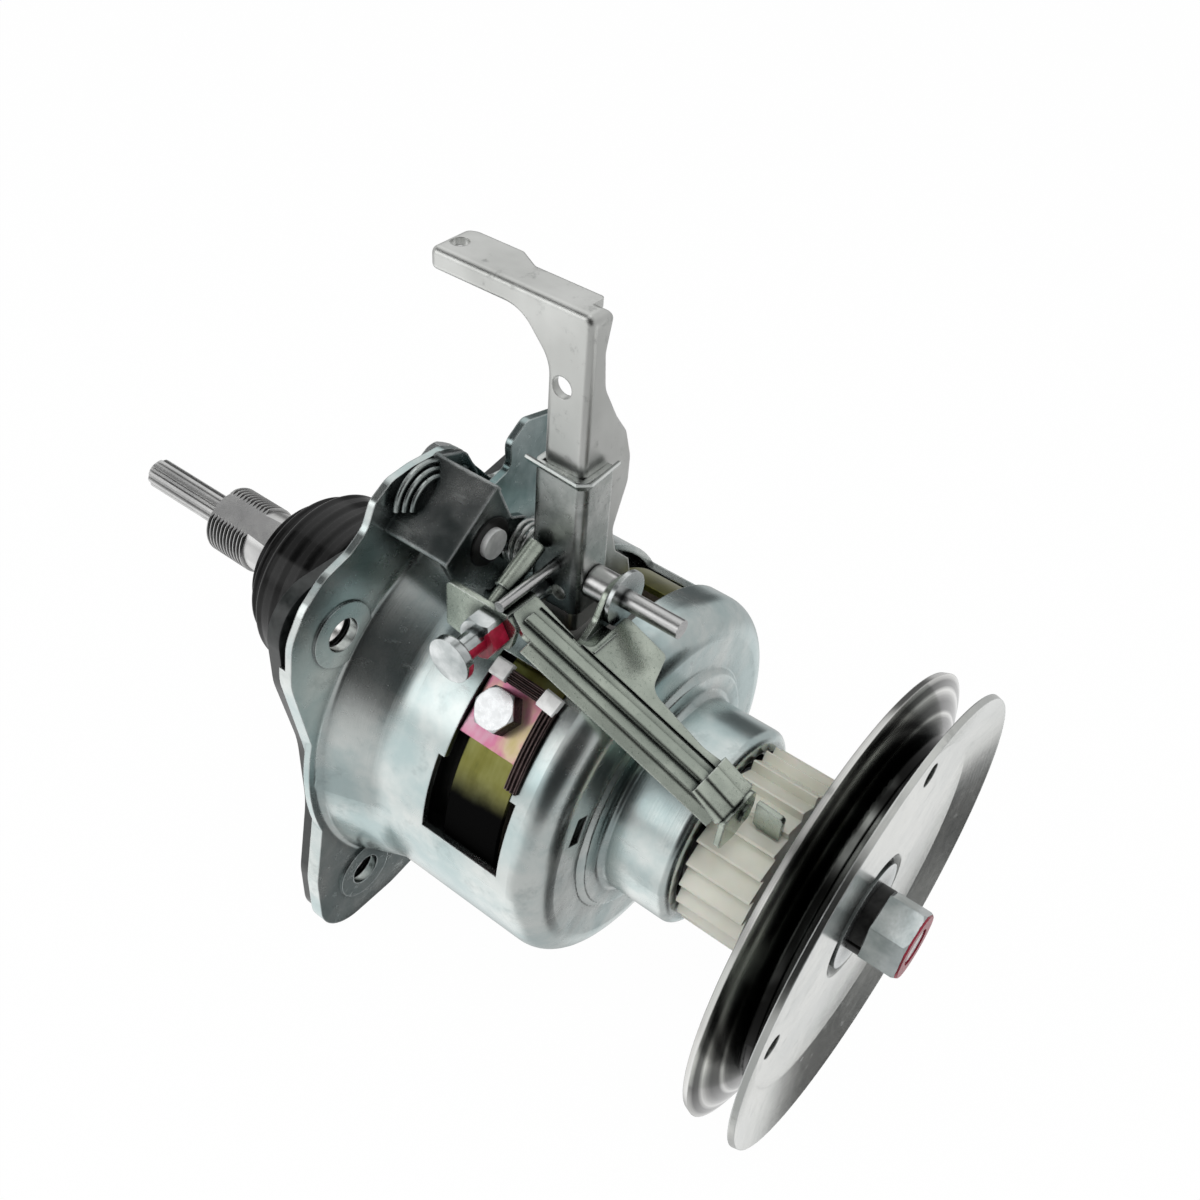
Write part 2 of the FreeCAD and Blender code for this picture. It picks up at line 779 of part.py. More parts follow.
def band_arc(inner, outer):
    low = band_free_angle - 360
    return sector(-band_middle - band_width / 2, -band_middle + band_width / 2, inner, outer,
                  low, band_fixed_angle)


def brake_lining():
    return band_arc(lining_r, band_r)


def brake_band():
    return band_arc(band_r, band_outer_r).cut(anchor_cutter(anchor_bolt_r))


def anchor_cutter(radius):
    cutter = Part.makeCylinder(radius, 20, Vector(anchor_bolt_x, band_r - 6, 0), Vector(0, 1, 0))
    return turn_about_x(cutter, anchor_angle)


def anchor_plate():
    half = anchor_side / 2
    plate = block(anchor_x - half, anchor_x + half, band_outer_r, band_outer_r + anchor_thickness, -half, half)
    plate = plate.cut(Part.makeCylinder(anchor_bolt_r, 20, Vector(anchor_bolt_x, band_r - 6, 0), Vector(0, 1, 0)))
    foot = block(anchor_x - half + 1, anchor_x + half - 1, band_outer_r - 2.0, band_outer_r + 0.2, -half + 1, half - 1)
    foot = foot.cut(rod(anchor_x - 30, anchor_x + 30, band_outer_r))
    foot = foot.cut(Part.makeCylinder(anchor_bolt_r, 20, Vector(anchor_bolt_x, band_r - 6, 0), Vector(0, 1, 0)))
    return turn_about_x(plate.fuse(foot), anchor_angle)


def anchor_bolt():
    seat = band_outer_r + anchor_thickness
    head = hexagon(anchor_head_r, anchor_head_height, Vector(anchor_bolt_x, seat, 0), Vector(0, 1, 0))
    shank = Part.makeCylinder(anchor_bolt_r, seat + 0.5 - band_r, Vector(anchor_bolt_x, band_r, 0), Vector(0, 1, 0))
    return turn_about_x(head.fuse(shank), anchor_angle)


def input_shaft():
    gear_x = -gear_middle
    return turned([(stub_end_x, 0), (stub_end_x, input_stub_r - 0.8), (stub_end_x + 0.8, input_stub_r),
                   (pulley_seat_x, input_stub_r), (pulley_seat_x, input_r),
                   (gear_x - gear_width / 2 - 1, input_r), (gear_x - gear_width / 2 - 1, sun_bore_r),
                   (gear_x + gear_width / 2 + 0.5, sun_bore_r), (gear_x + gear_width / 2 + 0.5, 0)])


def clutch_bush():
    return ring(pulley_seat_x, -hub_end - touch_gap, clutch_bush_r, input_r)


def clutch_spring():
    mean = clutch_bush_r + shaft_gap + clutch_wire / 2
    return coil(-clutch_spring_end + clutch_wire, -clutch_spring_start - clutch_wire, mean, clutch_wire,
                clutch_turns, 0)


def ratchet_wheel():
    corners = []
    root = ratchet_r - ratchet_tooth
    pitch = 360 / ratchet_teeth
    for k in range(ratchet_teeth):
        edge = math.radians(ratchet_phase + k * pitch)
        for radius, share in ((root, 0.0), (ratchet_r, 0.02), (ratchet_r, 0.12)):
            angle = edge + math.radians(share * pitch)
            corners.append((radius * math.cos(angle), radius * math.sin(angle)))
    body = plate_yz(corners, -ratchet_start, ratchet_start - ratchet_end)
    body = body.cut(rod(-ratchet_start + 1.5, -ratchet_end + 1, ratchet_bore_r))
    return body.cut(rod(-ratchet_start - 1, -ratchet_end + 1, ratchet_wall_r))


def front_path():
    hub_x = pulley_front_x + pulley_dish
    return [(hub_x + pulley_recess, input_stub_r), (hub_x + pulley_recess, pulley_recess_r - 1.0, 0.6),
            (hub_x, pulley_recess_r, 0.6), (hub_x, pulley_bend_r, 3.0), (pulley_front_x, pulley_r)]


def dimple_cutters(x):
    cutters = []
    for k in range(dimple_count):
        angle = math.radians(dimple_start_angle + 360 * k / dimple_count)
        cutters.append(rod(x - 4, x + 8, dimple_r, dimple_circle_r * math.cos(angle),
                           dimple_circle_r * math.sin(angle)))
    return Part.makeCompound(cutters)


def pulley_front():
    return turned_sheet(front_path(), pulley_sheet).cut(dimple_cutters(hub_face_x))


def pulley_rear():
    hub_x = rear_front_x
    rear_rim_x = pulley_front_x + pulley_rim_gap
    inner_step = pulley_recess_r + pulley_sheet * 0.62
    path = [(hub_x + pulley_recess, input_stub_r), (hub_x + pulley_recess, inner_step - 1.0, 0.6),
            (hub_x, inner_step, 0.6), (hub_x, pulley_bend_r - 0.8, 0.8),
            (hub_x + groove_floor, pulley_bend_r - 0.4, 1.0), (rear_rim_x, pulley_r)]
    return turned_sheet(path, pulley_sheet).cut(dimple_cutters(hub_x))


def hub_washer():
    return ring(hub_face_x - hub_washer_thickness, hub_face_x, hub_washer_r, input_stub_r)


def spring_washer():
    body = ring(nut_seat_x, washer_front_x, spring_washer_r, input_stub_r)
    return body.cut(block(nut_seat_x - 1, washer_front_x + 1, 0, 20, -0.6, 0.6))


def pulley_nut():
    nut = hexagon(nut_corner_r, nut_height, Vector(nut_seat_x, 0, 0), Vector(-1, 0, 0))
    return turn_about_x(nut.cut(rod(nut_seat_x - 20, nut_seat_x + 1, input_stub_r)), 12)


def drilled(body, x_start, x_end, radius, y, z):
    return body.cut(rod(x_start, x_end, radius, y, z))


# The side view of the lever leg: front edge straight, back edge curved and widest at the foot.
def lever_side_corners():
    return [(lever_front_y, lever_foot_z), (lever_front_y, lever_top_z), (3.0, lever_top_z, 2.0),
            (5.2, 122.0, 6.0), (4.3, 113.0, 8.0), (-0.6, 104.0, 6.0), (-4.9, 98.0, 6.0), (-7.4, 90.0, 6.0),
            (-7.4, 83.0, 5.0), (-2.9, 71.3, 5.0), (-4.9, 63.7, 3.0), (-11.0, 57.5, 2.0),
            (-12.4, 51.0, 2.5), (-6.0, lever_foot_z, 2.0)]


def lever_front_corners():
    right = lever_x + lever_width
    arm_low = lever_top_z - arm_height
    return [(lever_x, lever_foot_z), (lever_x, lever_top_z, 2.5), (arm_end_x, lever_top_z, 1.5),
            (arm_end_x, arm_low, 1.5), (right + 8.0, arm_low, 9.0), (right, arm_low - 9.0, 9.0),
            (right, lever_foot_z)]


# A pressed channel: front web, two sides along the leg and a top along the arm.
def brake_lever():
    right = lever_x + lever_width
    inner_y = lever_front_y - lever_sheet
    depth = 30.0
    solid = plate_xz(lever_front_corners(), lever_front_y - depth, depth)
    solid = solid.makeFillet(lever_bend_r, [e for e in solid.Edges if lever_ridge(e)])
    leg = solid.common(plate_yz(lever_side_corners(), lever_x - 1, lever_width + 1))
    arm = [(lever_x + 4, lever_front_y), (lever_x + 4, 1.0, 1.0), (-27.0, 1.0, 2.0),
           (-21.0, -2.3, 2.0), (arm_end_x, -2.3, 4.0), (arm_end_x, lever_front_y)]
    arm = solid.common(face(arm, on_xy(90.0)).extrude(Vector(0, 0, 60.0)))
    body = leg.fuse(arm)
    inside = [(lever_x + lever_sheet, 30.0), (lever_x + lever_sheet, lever_top_z - lever_sheet),
              (arm_end_x + 1, lever_top_z - lever_sheet), (arm_end_x + 1, flange_top_z),
              (right - lever_sheet, flange_top_z), (right - lever_sheet, 30.0)]
    body = body.cut(plate_xz(inside, -40.0, inner_y + 40.0))
    body = body.cut(upright_hole(arm_hole_r, arm_hole_x, arm_hole_y, lever_top_z - 6, 8))
    body = body.cut(cross_hole(leg_hole_r, leg_hole_x, lever_front_y - 6, leg_hole_z, 8))
    body = drilled(body, lever_x - 2, right + 2, pin_r + pin_gap, pin_y, pin_z)
    body = body.cut(cross_hole(cross_pin_r, cross_pin_x, inner_y - 3, cross_pin_z, 8))
    return body.removeSplitter()


def upright_hole(radius, x, y, z, length):
    return Part.makeCylinder(radius, length, Vector(x, y, z), Vector(0, 0, 1))


def cross_hole(radius, x, y, z, length):
    return Part.makeCylinder(radius, length, Vector(x, y, z), Vector(0, 1, 0))


# The long bends of the pressed lever: front to side, and front to top.
def lever_ridge(edge):
    box = edge.BoundBox
    on_front = abs(box.YMin - lever_front_y) < 0.01 and abs(box.YMax - lever_front_y) < 0.01
    upright = box.XMax < lever_x + 4.0 and box.ZMax > lever_foot_z + 4.0
    level = box.ZMin > lever_top_z - 4.0 and box.XMax < arm_end_x + 0.1 and box.XLength > 2.0
    return on_front and (upright or level)


# A stiffening sleeve of sheet folded round the lower leg.
def lever_wrap():
    left = lever_x - wrap_sheet
    right = lever_x + lever_width + wrap_sheet
    front = lever_front_y + wrap_sheet
    back = front - wrap_depth - wrap_sheet
    base = [(left, front, wrap_sheet + 0.8), (left, back), (left + wrap_sheet, back),
            (left + wrap_sheet, lever_front_y), (right - wrap_sheet, lever_front_y),
            (right - wrap_sheet, back + 4), (right, back + 4), (right, front, wrap_sheet + 0.8)]
    body = face(base, on_xy(wrap_bottom_z)).extrude(Vector(0, 0, wrap_top_z - wrap_bottom_z))
    body = body.cut(solid_lever_corner())
    body = drilled(body, left - 2, right + 2, pin_r + pin_gap, pin_y, pin_z)
    body = body.cut(cross_hole(wrap_hole_r, wrap_hole_x, lever_front_y - 2, wrap_hole_z, 8))
    return body.cut(cross_hole(cross_pin_r, cross_pin_x, lever_front_y - 2, cross_pin_z, 8))


# The room the leg itself takes inside its sleeve.
def solid_lever_corner():
    right = lever_x + lever_width
    return block(lever_x, right, lever_front_y - 20, lever_front_y, wrap_bottom_z - 1, wrap_top_z + 1)


def lever_cross_pin():
    start = lever_front_y - lever_sheet
    return cross_hole(cross_pin_r, cross_pin_x, start, cross_pin_z, cross_pin_end_y - start)


def pivot_pin():
    return rod(pin_far_x, flange_front_x, pin_r, pin_y, pin_z)


def pivot_washer():
    return ring(washer_x - washer_thickness, washer_x, washer_r, pin_r, pin_y, pin_z)


def pivot_sleeve():
    return ring(ear_x + fork_sheet + 0.2, lever_x - wrap_sheet - 0.2, sleeve_r, pin_r, pin_y, pin_z)


# The spring winds on the pivot pin between the lever and the bracket wall.
def lever_spring():
    start = lever_x + lever_width + wrap_sheet + coil_wire / 2 + 0.5
    end = bracket_front_x - coil_wire / 2
    mean = coil_r - coil_wire / 2
    return coil(start, end, mean, coil_wire, coil_turns, 0, pin_y, pin_z)


# Points on the fork are given as the distance down its slope, the width Y and the height w.
def fork_point(u, v, w=0.0):
    slope = math.radians(fork_slope)
    return Vector(fork_x - u * math.cos(slope) - w * math.sin(slope), v,
                  fork_z - u * math.sin(slope) + w * math.cos(slope))


# The strip's left edge drifts towards the right as it runs down to the ratchet.
def strip_left(u):
    return strip_left_y + (tip_left_y - strip_left_y) * u / fork_length


def rib_y(u):
    return rib_near_y + (rib_far_y - rib_near_y) * u / fork_length


# One pressed sheet: a strip down to the ratchet with a wing over the drum.
def fork_plate():
    waist = wing_end + 1.5
    corners = [(0.0, strip_right_y, 1.5), (wing_start + 0.8, strip_right_y, 3.5),
               (wing_start, wing_right_y + 0.8, 1.5), (wing_end - 2.0, wing_right_y, 1.5),
               (waist, strip_waist_y, 4.0), (fork_length - 14.0, strip_waist_y, 12.0),
               (fork_length, tip_right_y, 0.5), (fork_length, tip_left_y), (6.0, strip_left(6.0), 3.0),
               (0.0, strip_left_y - 2.5, 2.0)]
    plate = face(corners, lambda a, b: fork_point(a, b, -fork_sheet))
    plate = plate.extrude(fork_point(0, 0, fork_sheet) - fork_point(0, 0))
    level = plate_yz([(strip_right_y, fork_z - fork_sheet), (strip_right_y, fork_z), (lug_y, fork_z),
                      (lug_y, fork_z - fork_sheet)], fork_x - 0.6, level_length + 0.6)
    return plate.fuse(level)


# A bar with the given section, (y, w) corners, from one place down the strip to another.
def fork_bar(section, u_start, u_end, y_start, y_end):
    bar = face(section, lambda a, b: fork_point(u_start, y_start + a, b))
    return bar.extrude(fork_point(u_end, y_end) - fork_point(u_start, y_start))


def fork_rib():
    half, low = rib_width / 2, -0.5 * fork_sheet
    section = [(-half, low), (-half, rib_height, rib_r), (half, rib_height, rib_r), (half, low)]
    end = fork_length - head_length + 1.0
    return fork_bar(section, rib_start, end, rib_y(rib_start), rib_y(end))


def fork_groove():
    left, right = groove_offset + groove_width / 2, groove_offset - groove_width / 2
    section = [(right, 1.0), (right, -groove_depth), (left, -groove_depth), (left, 1.0)]
    end = fork_length - head_length
    return fork_bar(section, rib_start, end, rib_y(rib_start), rib_y(end))


# The left edge is turned down.
def fork_side():
    section = [(-1.5, 0.0), (0.4, 0.0, 1.2), (2.0, -side_flange), (0.6, -side_flange - 0.6),
               (-0.8, -fork_sheet, 0.6), (-1.5, -fork_sheet)]
    start, end = 8.0, fork_length - 1.0
    return fork_bar(section, start, end, strip_left(start), strip_left(end))


# The far end is stepped up before it turns down over the ratchet.
def fork_head():
    start = fork_length - head_length
    right, left = tip_right_y + 0.8, tip_left_y + 1.0
    section = [(right, -fork_sheet), (right, head_height * 0.5, 1.0), (right + 4.0, head_height * 0.5, 1.0),
               (right + 4.6, head_height, 0.8), (left - 4.6, head_height, 0.8),
               (left - 4.0, head_height * 0.7, 0.8), (left, head_height * 0.7, 1.2), (left, -fork_sheet)]
    return fork_bar(section, start, fork_length, 0.0, 0.0)


# An ear turned up from the wing's near edge carries the fork on the pivot pin.
def fork_ear():
    foot_top = fork_point(wing_start, 0).z
    low_z = foot_top - fork_sheet
    foot_y = pin_y + washer_r - 0.8
    ear = plate_yz([(pin_y - ear_half, low_z, 2.0), (pin_y - ear_half, pin_z + ear_half, 4.5),
                    (pin_y + ear_half, pin_z + ear_half, 4.5), (pin_y + ear_half + 4, low_z + 4, 3.0),
                    (strip_right_y - 1.0, low_z)], ear_x, fork_sheet)
    foot = block(fork_point(wing_start + 2.0, 0).x, ear_x + fork_sheet, foot_y, strip_right_y - 1.0,
                 low_z - 0.5, foot_top - 0.5)
    ear = ear.fuse(foot)
    return ear.cut(rod(ear_x - 1, ear_x + fork_sheet + 1, pin_r + pin_gap, pin_y, pin_z))


def pawl_fork():
    body = fork_plate().fuse([fork_rib(), fork_side(), fork_head()]).cut(fork_groove())
    return body.fuse([fork_ear(), fork_lip(), fork_lug()]).removeSplitter()


# The far end is turned down over the ratchet and carries the pawl.
def fork_lip():
    tip = fork_point(fork_length, 0, head_height)
    middle_y = (tip_right_y + tip_left_y) / 2
    low = tip.z - lip_depth
    lip = plate_yz([(tip_right_y + 0.8, tip.z - 1.2, 2.0), (tip_left_y + 1.0, tip.z - 1.2, 2.0),
                    (tip_left_y + 2.2, low + 1.5, 1.5), (middle_y + 2.0, low, 3.0),
                    (tip_right_y + 1.0, low + 2.5, 4.0)], tip.x - 0.6, fork_sheet)
    boss = rod(tip.x - 1.3, tip.x, lip_rivet_r, middle_y - 1.0, tip.z - lip_depth / 2)
    return lip.fuse(boss)


# The near end carries a lug turned down, tapped for the adjusting screw, with a stub behind it.
def fork_lug():
    back = lug_y - fork_sheet
    low = [(lug_near_x, lug_low_z + 0.8, 0.8), (lug_near_x - 4.0, lug_low_z, 1.5),
           (jack_x - lug_far, jack_z - lug_far + 2.0, 3.0), (fork_x - 3.0, lug_top_z - 3.2, 1.0),
           (fork_x - 3.0, lug_top_z - 2.2), (fork_x, lug_top_z - 0.2), (lug_near_x, lug_top_z, 1.5)]
    lug = plate_xz(low, back, fork_sheet)
    return lug.fuse(fork_stub()).cut(screw_cylinder(jack_r, 60.0, -60.0))


def fork_stub():
    tilt = math.radians(stub_tilt)
    direction = Vector(0, -math.cos(tilt), math.sin(tilt))
    root_y = lug_y - fork_sheet / 2
    root = Vector(stub_x, root_y, stub_root_z)
    end = (root_y - lever_front_y - wrap_sheet - touch_gap - stub_r * math.sin(tilt)) / math.cos(tilt)
    neck = Part.makeCylinder(stub_neck_r, stub_neck_length + 0.1, root, direction)
    thick = Part.makeCylinder(stub_r, end - stub_neck_length, root + direction * stub_neck_length, direction)
    return neck.fuse(thick)


def pawl():
    start = fork_point(fork_length, 0, head_height).x - 0.6
    return plate_xz([(start - pawl_length, pawl_top_z - 0.6, 1.2), (start, pawl_top_z),
                     (start, pawl_bottom_z + 1.0), (start - 1.5, pawl_bottom_z, 0.5),
                     (start - pawl_length, pawl_bottom_z, 0.5)], pawl_y - pawl_thickness, pawl_thickness)


# A cylinder on the adjusting screw's line, from one y down to another.
def screw_cylinder(radius, start_y, end_y):
    return Part.makeCylinder(radius, start_y - end_y, Vector(jack_x, start_y, jack_z), Vector(0, -1, 0))


# Beyond the lug the screw is thinner, and ends beside the lever.
def jack_screw():
    shoulder = jack_head_y - jack_head_height
    thread_end = lug_y - fork_sheet - 0.5
    tip_end = lever_front_y + wrap_sheet + touch_gap
    head = screw_cylinder(jack_head_r, jack_head_y, shoulder)
    head = head.makeFillet(0.8, head.Edges[0:1])
    return head.fuse([screw_cylinder(jack_r, shoulder + 0.1, thread_end),
                      screw_cylinder(jack_tip_r, thread_end + 0.1, tip_end)])


def jack_nut():
    nut = hexagon(jack_nut_r, jack_nut_height, Vector(jack_x, lug_y, jack_z), Vector(0, 1, 0))
    return nut.cut(screw_cylinder(jack_r, 60.0, -60.0))


# A boxed bracket stands on the flange ear; its top slopes down towards +Y.
def lever_bracket():
    t = bracket_sheet
    back_x = flange_front_x - t
    right, left = bracket_top_right, bracket_top_left
    front = plate_yz([right + (1.5,), left + (1.0,), (27.4, 61.2, 1.5), (14.9, 51.0, 1.0), (3.8, 53.0, 3.0),
                      (pin_y - 4.8, pin_z - 3.0, 3.0), (pin_y - 4.4, pin_z + 4.4, 4.0),
                      (7.3, 69.0, 3.0)], bracket_front_x, t)
    back = plate_yz([(-2.0, 66.0, 4.0), (4.0, 78.0, 4.0), right + (1.5,), left + (1.0,),
                     (26.0, 62.6, 2.0), (12.0, 63.0, 2.0)], back_x, t)
    slope = math.atan2(right[1] - left[1], left[0] - right[0])
    drop = (-t * math.sin(slope), -t * math.cos(slope))
    top = face([right + (0.5,), left + (0.5,), (left[0] + drop[0], left[1] + drop[1]),
                (right[0] + drop[0], right[1] + drop[1])], on_yz(bracket_front_x))
    top = top.extrude(Vector(flange_front_x - bracket_front_x, 0, 0))
    body = front.fuse([back, top])
    body = drilled(body, bracket_front_x - 1, bracket_front_x + t + 1, pin_r, pin_y, pin_z)
    body = drilled(body, bracket_front_x - 1, bracket_front_x + t + 1, bush_r, rivet_y, rivet_z)
    for y, z in bracket_bolts:
        body = drilled(body, back_x - 1, flange_front_x + 1, bracket_bolt_r, y, z)
    return body.cut(rod(bracket_front_x - 5, 0, housing_r + 0.01)).removeSplitter()


def bracket_bush():
    return ring(bracket_front_x - 0.4, bracket_front_x + bracket_sheet, bush_r, rivet_r - 0.9, rivet_y, rivet_z)


def bracket_rivet():
    back = flange_front_x - bracket_sheet
    shank = rod(bracket_front_x - 0.4, back, rivet_r - 0.9, rivet_y, rivet_z)
    head = rod(bracket_front_x - 0.4 - rivet_head, bracket_front_x - 0.4, rivet_r, rivet_y, rivet_z)
    return head.fuse(shank)


def bracket_bolt_set():
    bolts = []
    seat = flange_front_x + housing_sheet
    for y, z in bracket_bolts:
        head = hexagon(bracket_head_r, bracket_head_height, Vector(seat, y, z), Vector(1, 0, 0))
        shank = rod(flange_front_x - bracket_sheet, seat + 0.1, bracket_bolt_r, y, z)
        bolts.append(head.fuse(shank))
    return Part.makeCompound(bolts)


def housing_envelope():
    return turned([(neck_end_x, 0)] + housing_path() + [(flange_front_x, 0)])


# The upright plate behind the lever carries the pivot pin; its foot is welded to the drum housing.
def pivot_support():
    body = plate_yz([(13.0, 52.0), (11.6, 63.0, 3.0), (8.0, 70.0, 4.0), (-3.4, 73.0, 3.0), (-3.0, 80.0, 3.0),
                     (-9.0, support_top_z, 3.0), (-22.0, support_top_z - 3, 6.0), (-30.0, 70.0, 6.0),
                     (-30.0, 40.0)], support_x, bracket_sheet)
    tab = block(support_x, flange_front_x, -27.0, -10.0, 59.5, 59.5 + bracket_sheet)
    body = body.fuse(tab).cut(housing_envelope())
    return drilled(body, support_x - 1, support_x + 5, pin_r, pin_y, pin_z).removeSplitter()


def save(name, shape):
    solids = shape.Solids
    if not solids or not all(s.isValid() for s in solids):
        print("CHECK", name, "solids", len(solids), "valid", [s.isValid() for s in solids])
    keep = solids[0] if len(solids) == 1 else Part.makeCompound(solids)
    keep.exportStep(os.path.join("parts", name + ".step"))
    print(name, len(solids), round(sum(s.Volume for s in solids), 1))


def main():
    os.makedirs("parts", exist_ok=True)
    save("drum_housing", drum_housing())
    save("bearing_housing", bearing_housing())
    lower = bearing(neck_end_x + housing_sheet, lower_bearing_r, lower_bearing_width)
    upper = bearing(boss_base_length + 6, upper_bearing_r, upper_bearing_width)
    for name, pieces in (("lower", lower), ("upper", upper)):
        save(name + "_bearing_outer_race", pieces[0])
        save(name + "_bearing_inner_race", pieces[1])
        save(name + "_bearing_balls", pieces[2])
    save("shaft_seal", shaft_seal())
    save("spin_shaft", spin_shaft())
    save("upper_shaft_bush", shaft_bush(spin_end - 3 - bush_length))
    save("lower_shaft_bush", shaft_bush(-drum_end + 1))
    save("pulsator_shaft", pulsator_shaft())
    save("brake_drum", brake_drum())
    save("drum_cover", drum_cover())
    save("hub_bush", hub_bush(-hub_end + 2))
    save("ring_gear", ring_gear())
    save("sun_gear", sun_gear())
    for k in range(planet_count):
        save("planet_gear_%d" % (k + 1), planet_gear(k))
    save("planet_carrier", planet_carrier())
    save("carrier_cover", carrier_cover())
    save("planet_pins", planet_pins())
    save("brake_lining", brake_lining())
    save("brake_band", brake_band())
    save("anchor_plate", anchor_plate())
    save("anchor_bolt", anchor_bolt())
    save("input_shaft", input_shaft())
    save("clutch_bush", clutch_bush())
    save("clutch_spring", clutch_spring())
    save("ratchet_wheel", ratchet_wheel())
    save("pulley_front", pulley_front())
    save("pulley_rear", pulley_rear())
    save("hub_washer", hub_washer())
    save("spring_washer", spring_washer())
    save("pulley_nut", pulley_nut())
    save("brake_lever", brake_lever())
    save("lever_wrap", lever_wrap())
    save("lever_cross_pin", lever_cross_pin())
    save("pivot_pin", pivot_pin())
    save("pivot_washer", pivot_washer())
    save("pivot_sleeve", pivot_sleeve())
    save("lever_spring", lever_spring())
    save("pawl_fork", pawl_fork())
    save("pawl", pawl())
    save("jack_screw", jack_screw())
    save("jack_nut", jack_nut())
    save("lever_bracket", lever_bracket())
    save("bracket_bush", bracket_bush())
    save("bracket_rivet", bracket_rivet())
    save("bracket_bolts", bracket_bolt_set())
    save("pivot_support", pivot_support())


main()
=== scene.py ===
import math

import bmesh
import bpy
from mathutils import Matrix, Vector


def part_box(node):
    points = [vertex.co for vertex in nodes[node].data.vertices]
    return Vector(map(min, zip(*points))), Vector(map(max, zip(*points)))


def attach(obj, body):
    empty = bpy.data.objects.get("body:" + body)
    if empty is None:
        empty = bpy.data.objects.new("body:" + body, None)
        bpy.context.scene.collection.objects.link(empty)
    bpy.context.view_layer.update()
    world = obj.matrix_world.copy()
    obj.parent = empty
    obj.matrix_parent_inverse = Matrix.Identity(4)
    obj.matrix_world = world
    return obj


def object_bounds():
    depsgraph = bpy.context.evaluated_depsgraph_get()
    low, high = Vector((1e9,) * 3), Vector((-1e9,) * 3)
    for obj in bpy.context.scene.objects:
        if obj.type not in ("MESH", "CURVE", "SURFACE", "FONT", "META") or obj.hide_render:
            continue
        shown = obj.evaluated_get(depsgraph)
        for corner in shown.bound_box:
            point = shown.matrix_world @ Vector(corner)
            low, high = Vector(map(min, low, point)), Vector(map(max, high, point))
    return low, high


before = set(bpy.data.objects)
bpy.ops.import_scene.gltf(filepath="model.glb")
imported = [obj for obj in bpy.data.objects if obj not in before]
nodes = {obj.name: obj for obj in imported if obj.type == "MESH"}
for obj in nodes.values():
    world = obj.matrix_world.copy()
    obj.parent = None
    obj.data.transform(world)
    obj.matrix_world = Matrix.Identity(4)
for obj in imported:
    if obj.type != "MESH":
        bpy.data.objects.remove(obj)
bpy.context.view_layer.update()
print("frame loaded:", len(nodes), "nodes")

mm = 0.001


# One output of a shader node, which can be reckoned with like a number.
class Strand:
    def __init__(self, graph, socket):
        self.graph = graph
        self.socket = socket

    def maths(self, operation, *values):
        return self.graph.node("ShaderNodeMath", {"operation": operation}, dict(enumerate(values)))

    def __add__(self, other):
        return self.maths("ADD", self, other)

    __radd__ = __add__

    def __sub__(self, other):
        return self.maths("SUBTRACT", self, other)

    def __rsub__(self, other):
        return self.maths("SUBTRACT", other, self)

    def __mul__(self, other):
        return self.maths("MULTIPLY", self, other)

    __rmul__ = __mul__

    def __pow__(self, other):
        return self.maths("POWER", self, other)

    def most(self, other):
        return self.maths("MAXIMUM", self, other)

    def size(self):
        return self.maths("ABSOLUTE", self)

    def sine(self):
        return self.maths("SINE", self)

    # the angle, in radians, whose tangent is this strand over the other
    def angle(self, other):
        return self.maths("ARCTAN2", self, other)

    # 0 below low, 1 above high, smooth between
    def step(self, low, high):
        return self.graph.node("ShaderNodeMapRange", {"interpolation_type": "SMOOTHSTEP", "clamp": True},
                               {"Value": self, "From Min": low, "From Max": high})


# The nodes of a material or of the world.
class Graph:
    def __init__(self, tree):
        self.tree = tree

    def node(self, kind, settings, inputs, output=0):
        made = self.tree.nodes.new(kind)
        for key, value in settings.items():
            if key == "stops":
                self.fillRamp(made.color_ramp, value)
            else:
                setattr(made, key, value)
        for key, value in inputs.items():
            self.feed(made.inputs[key], value)
        return Strand(self, made.outputs[output])

    def fillRamp(self, ramp, stops):
        while len(ramp.elements) < len(stops):
            ramp.elements.new(0.5)
        for element, (place, colour) in zip(ramp.elements, stops):
            element.position = place
            element.color = (*colour, 1)

    def feed(self, socket, value):
        if isinstance(value, Strand):
            self.tree.links.new(value.socket, socket)
        elif isinstance(value, (tuple, list)) and len(value) == 3 and socket.type == "RGBA":
            socket.default_value = (*value, 1)
        else:
            socket.default_value = value

    def vectorMaths(self, operation, inputs, output="Vector"):
        return self.node("ShaderNodeVectorMath", {"operation": operation}, inputs, output)

    def rayIs(self, kind):
        return self.node("ShaderNodeLightPath", {}, {}, "Is " + kind + " Ray")


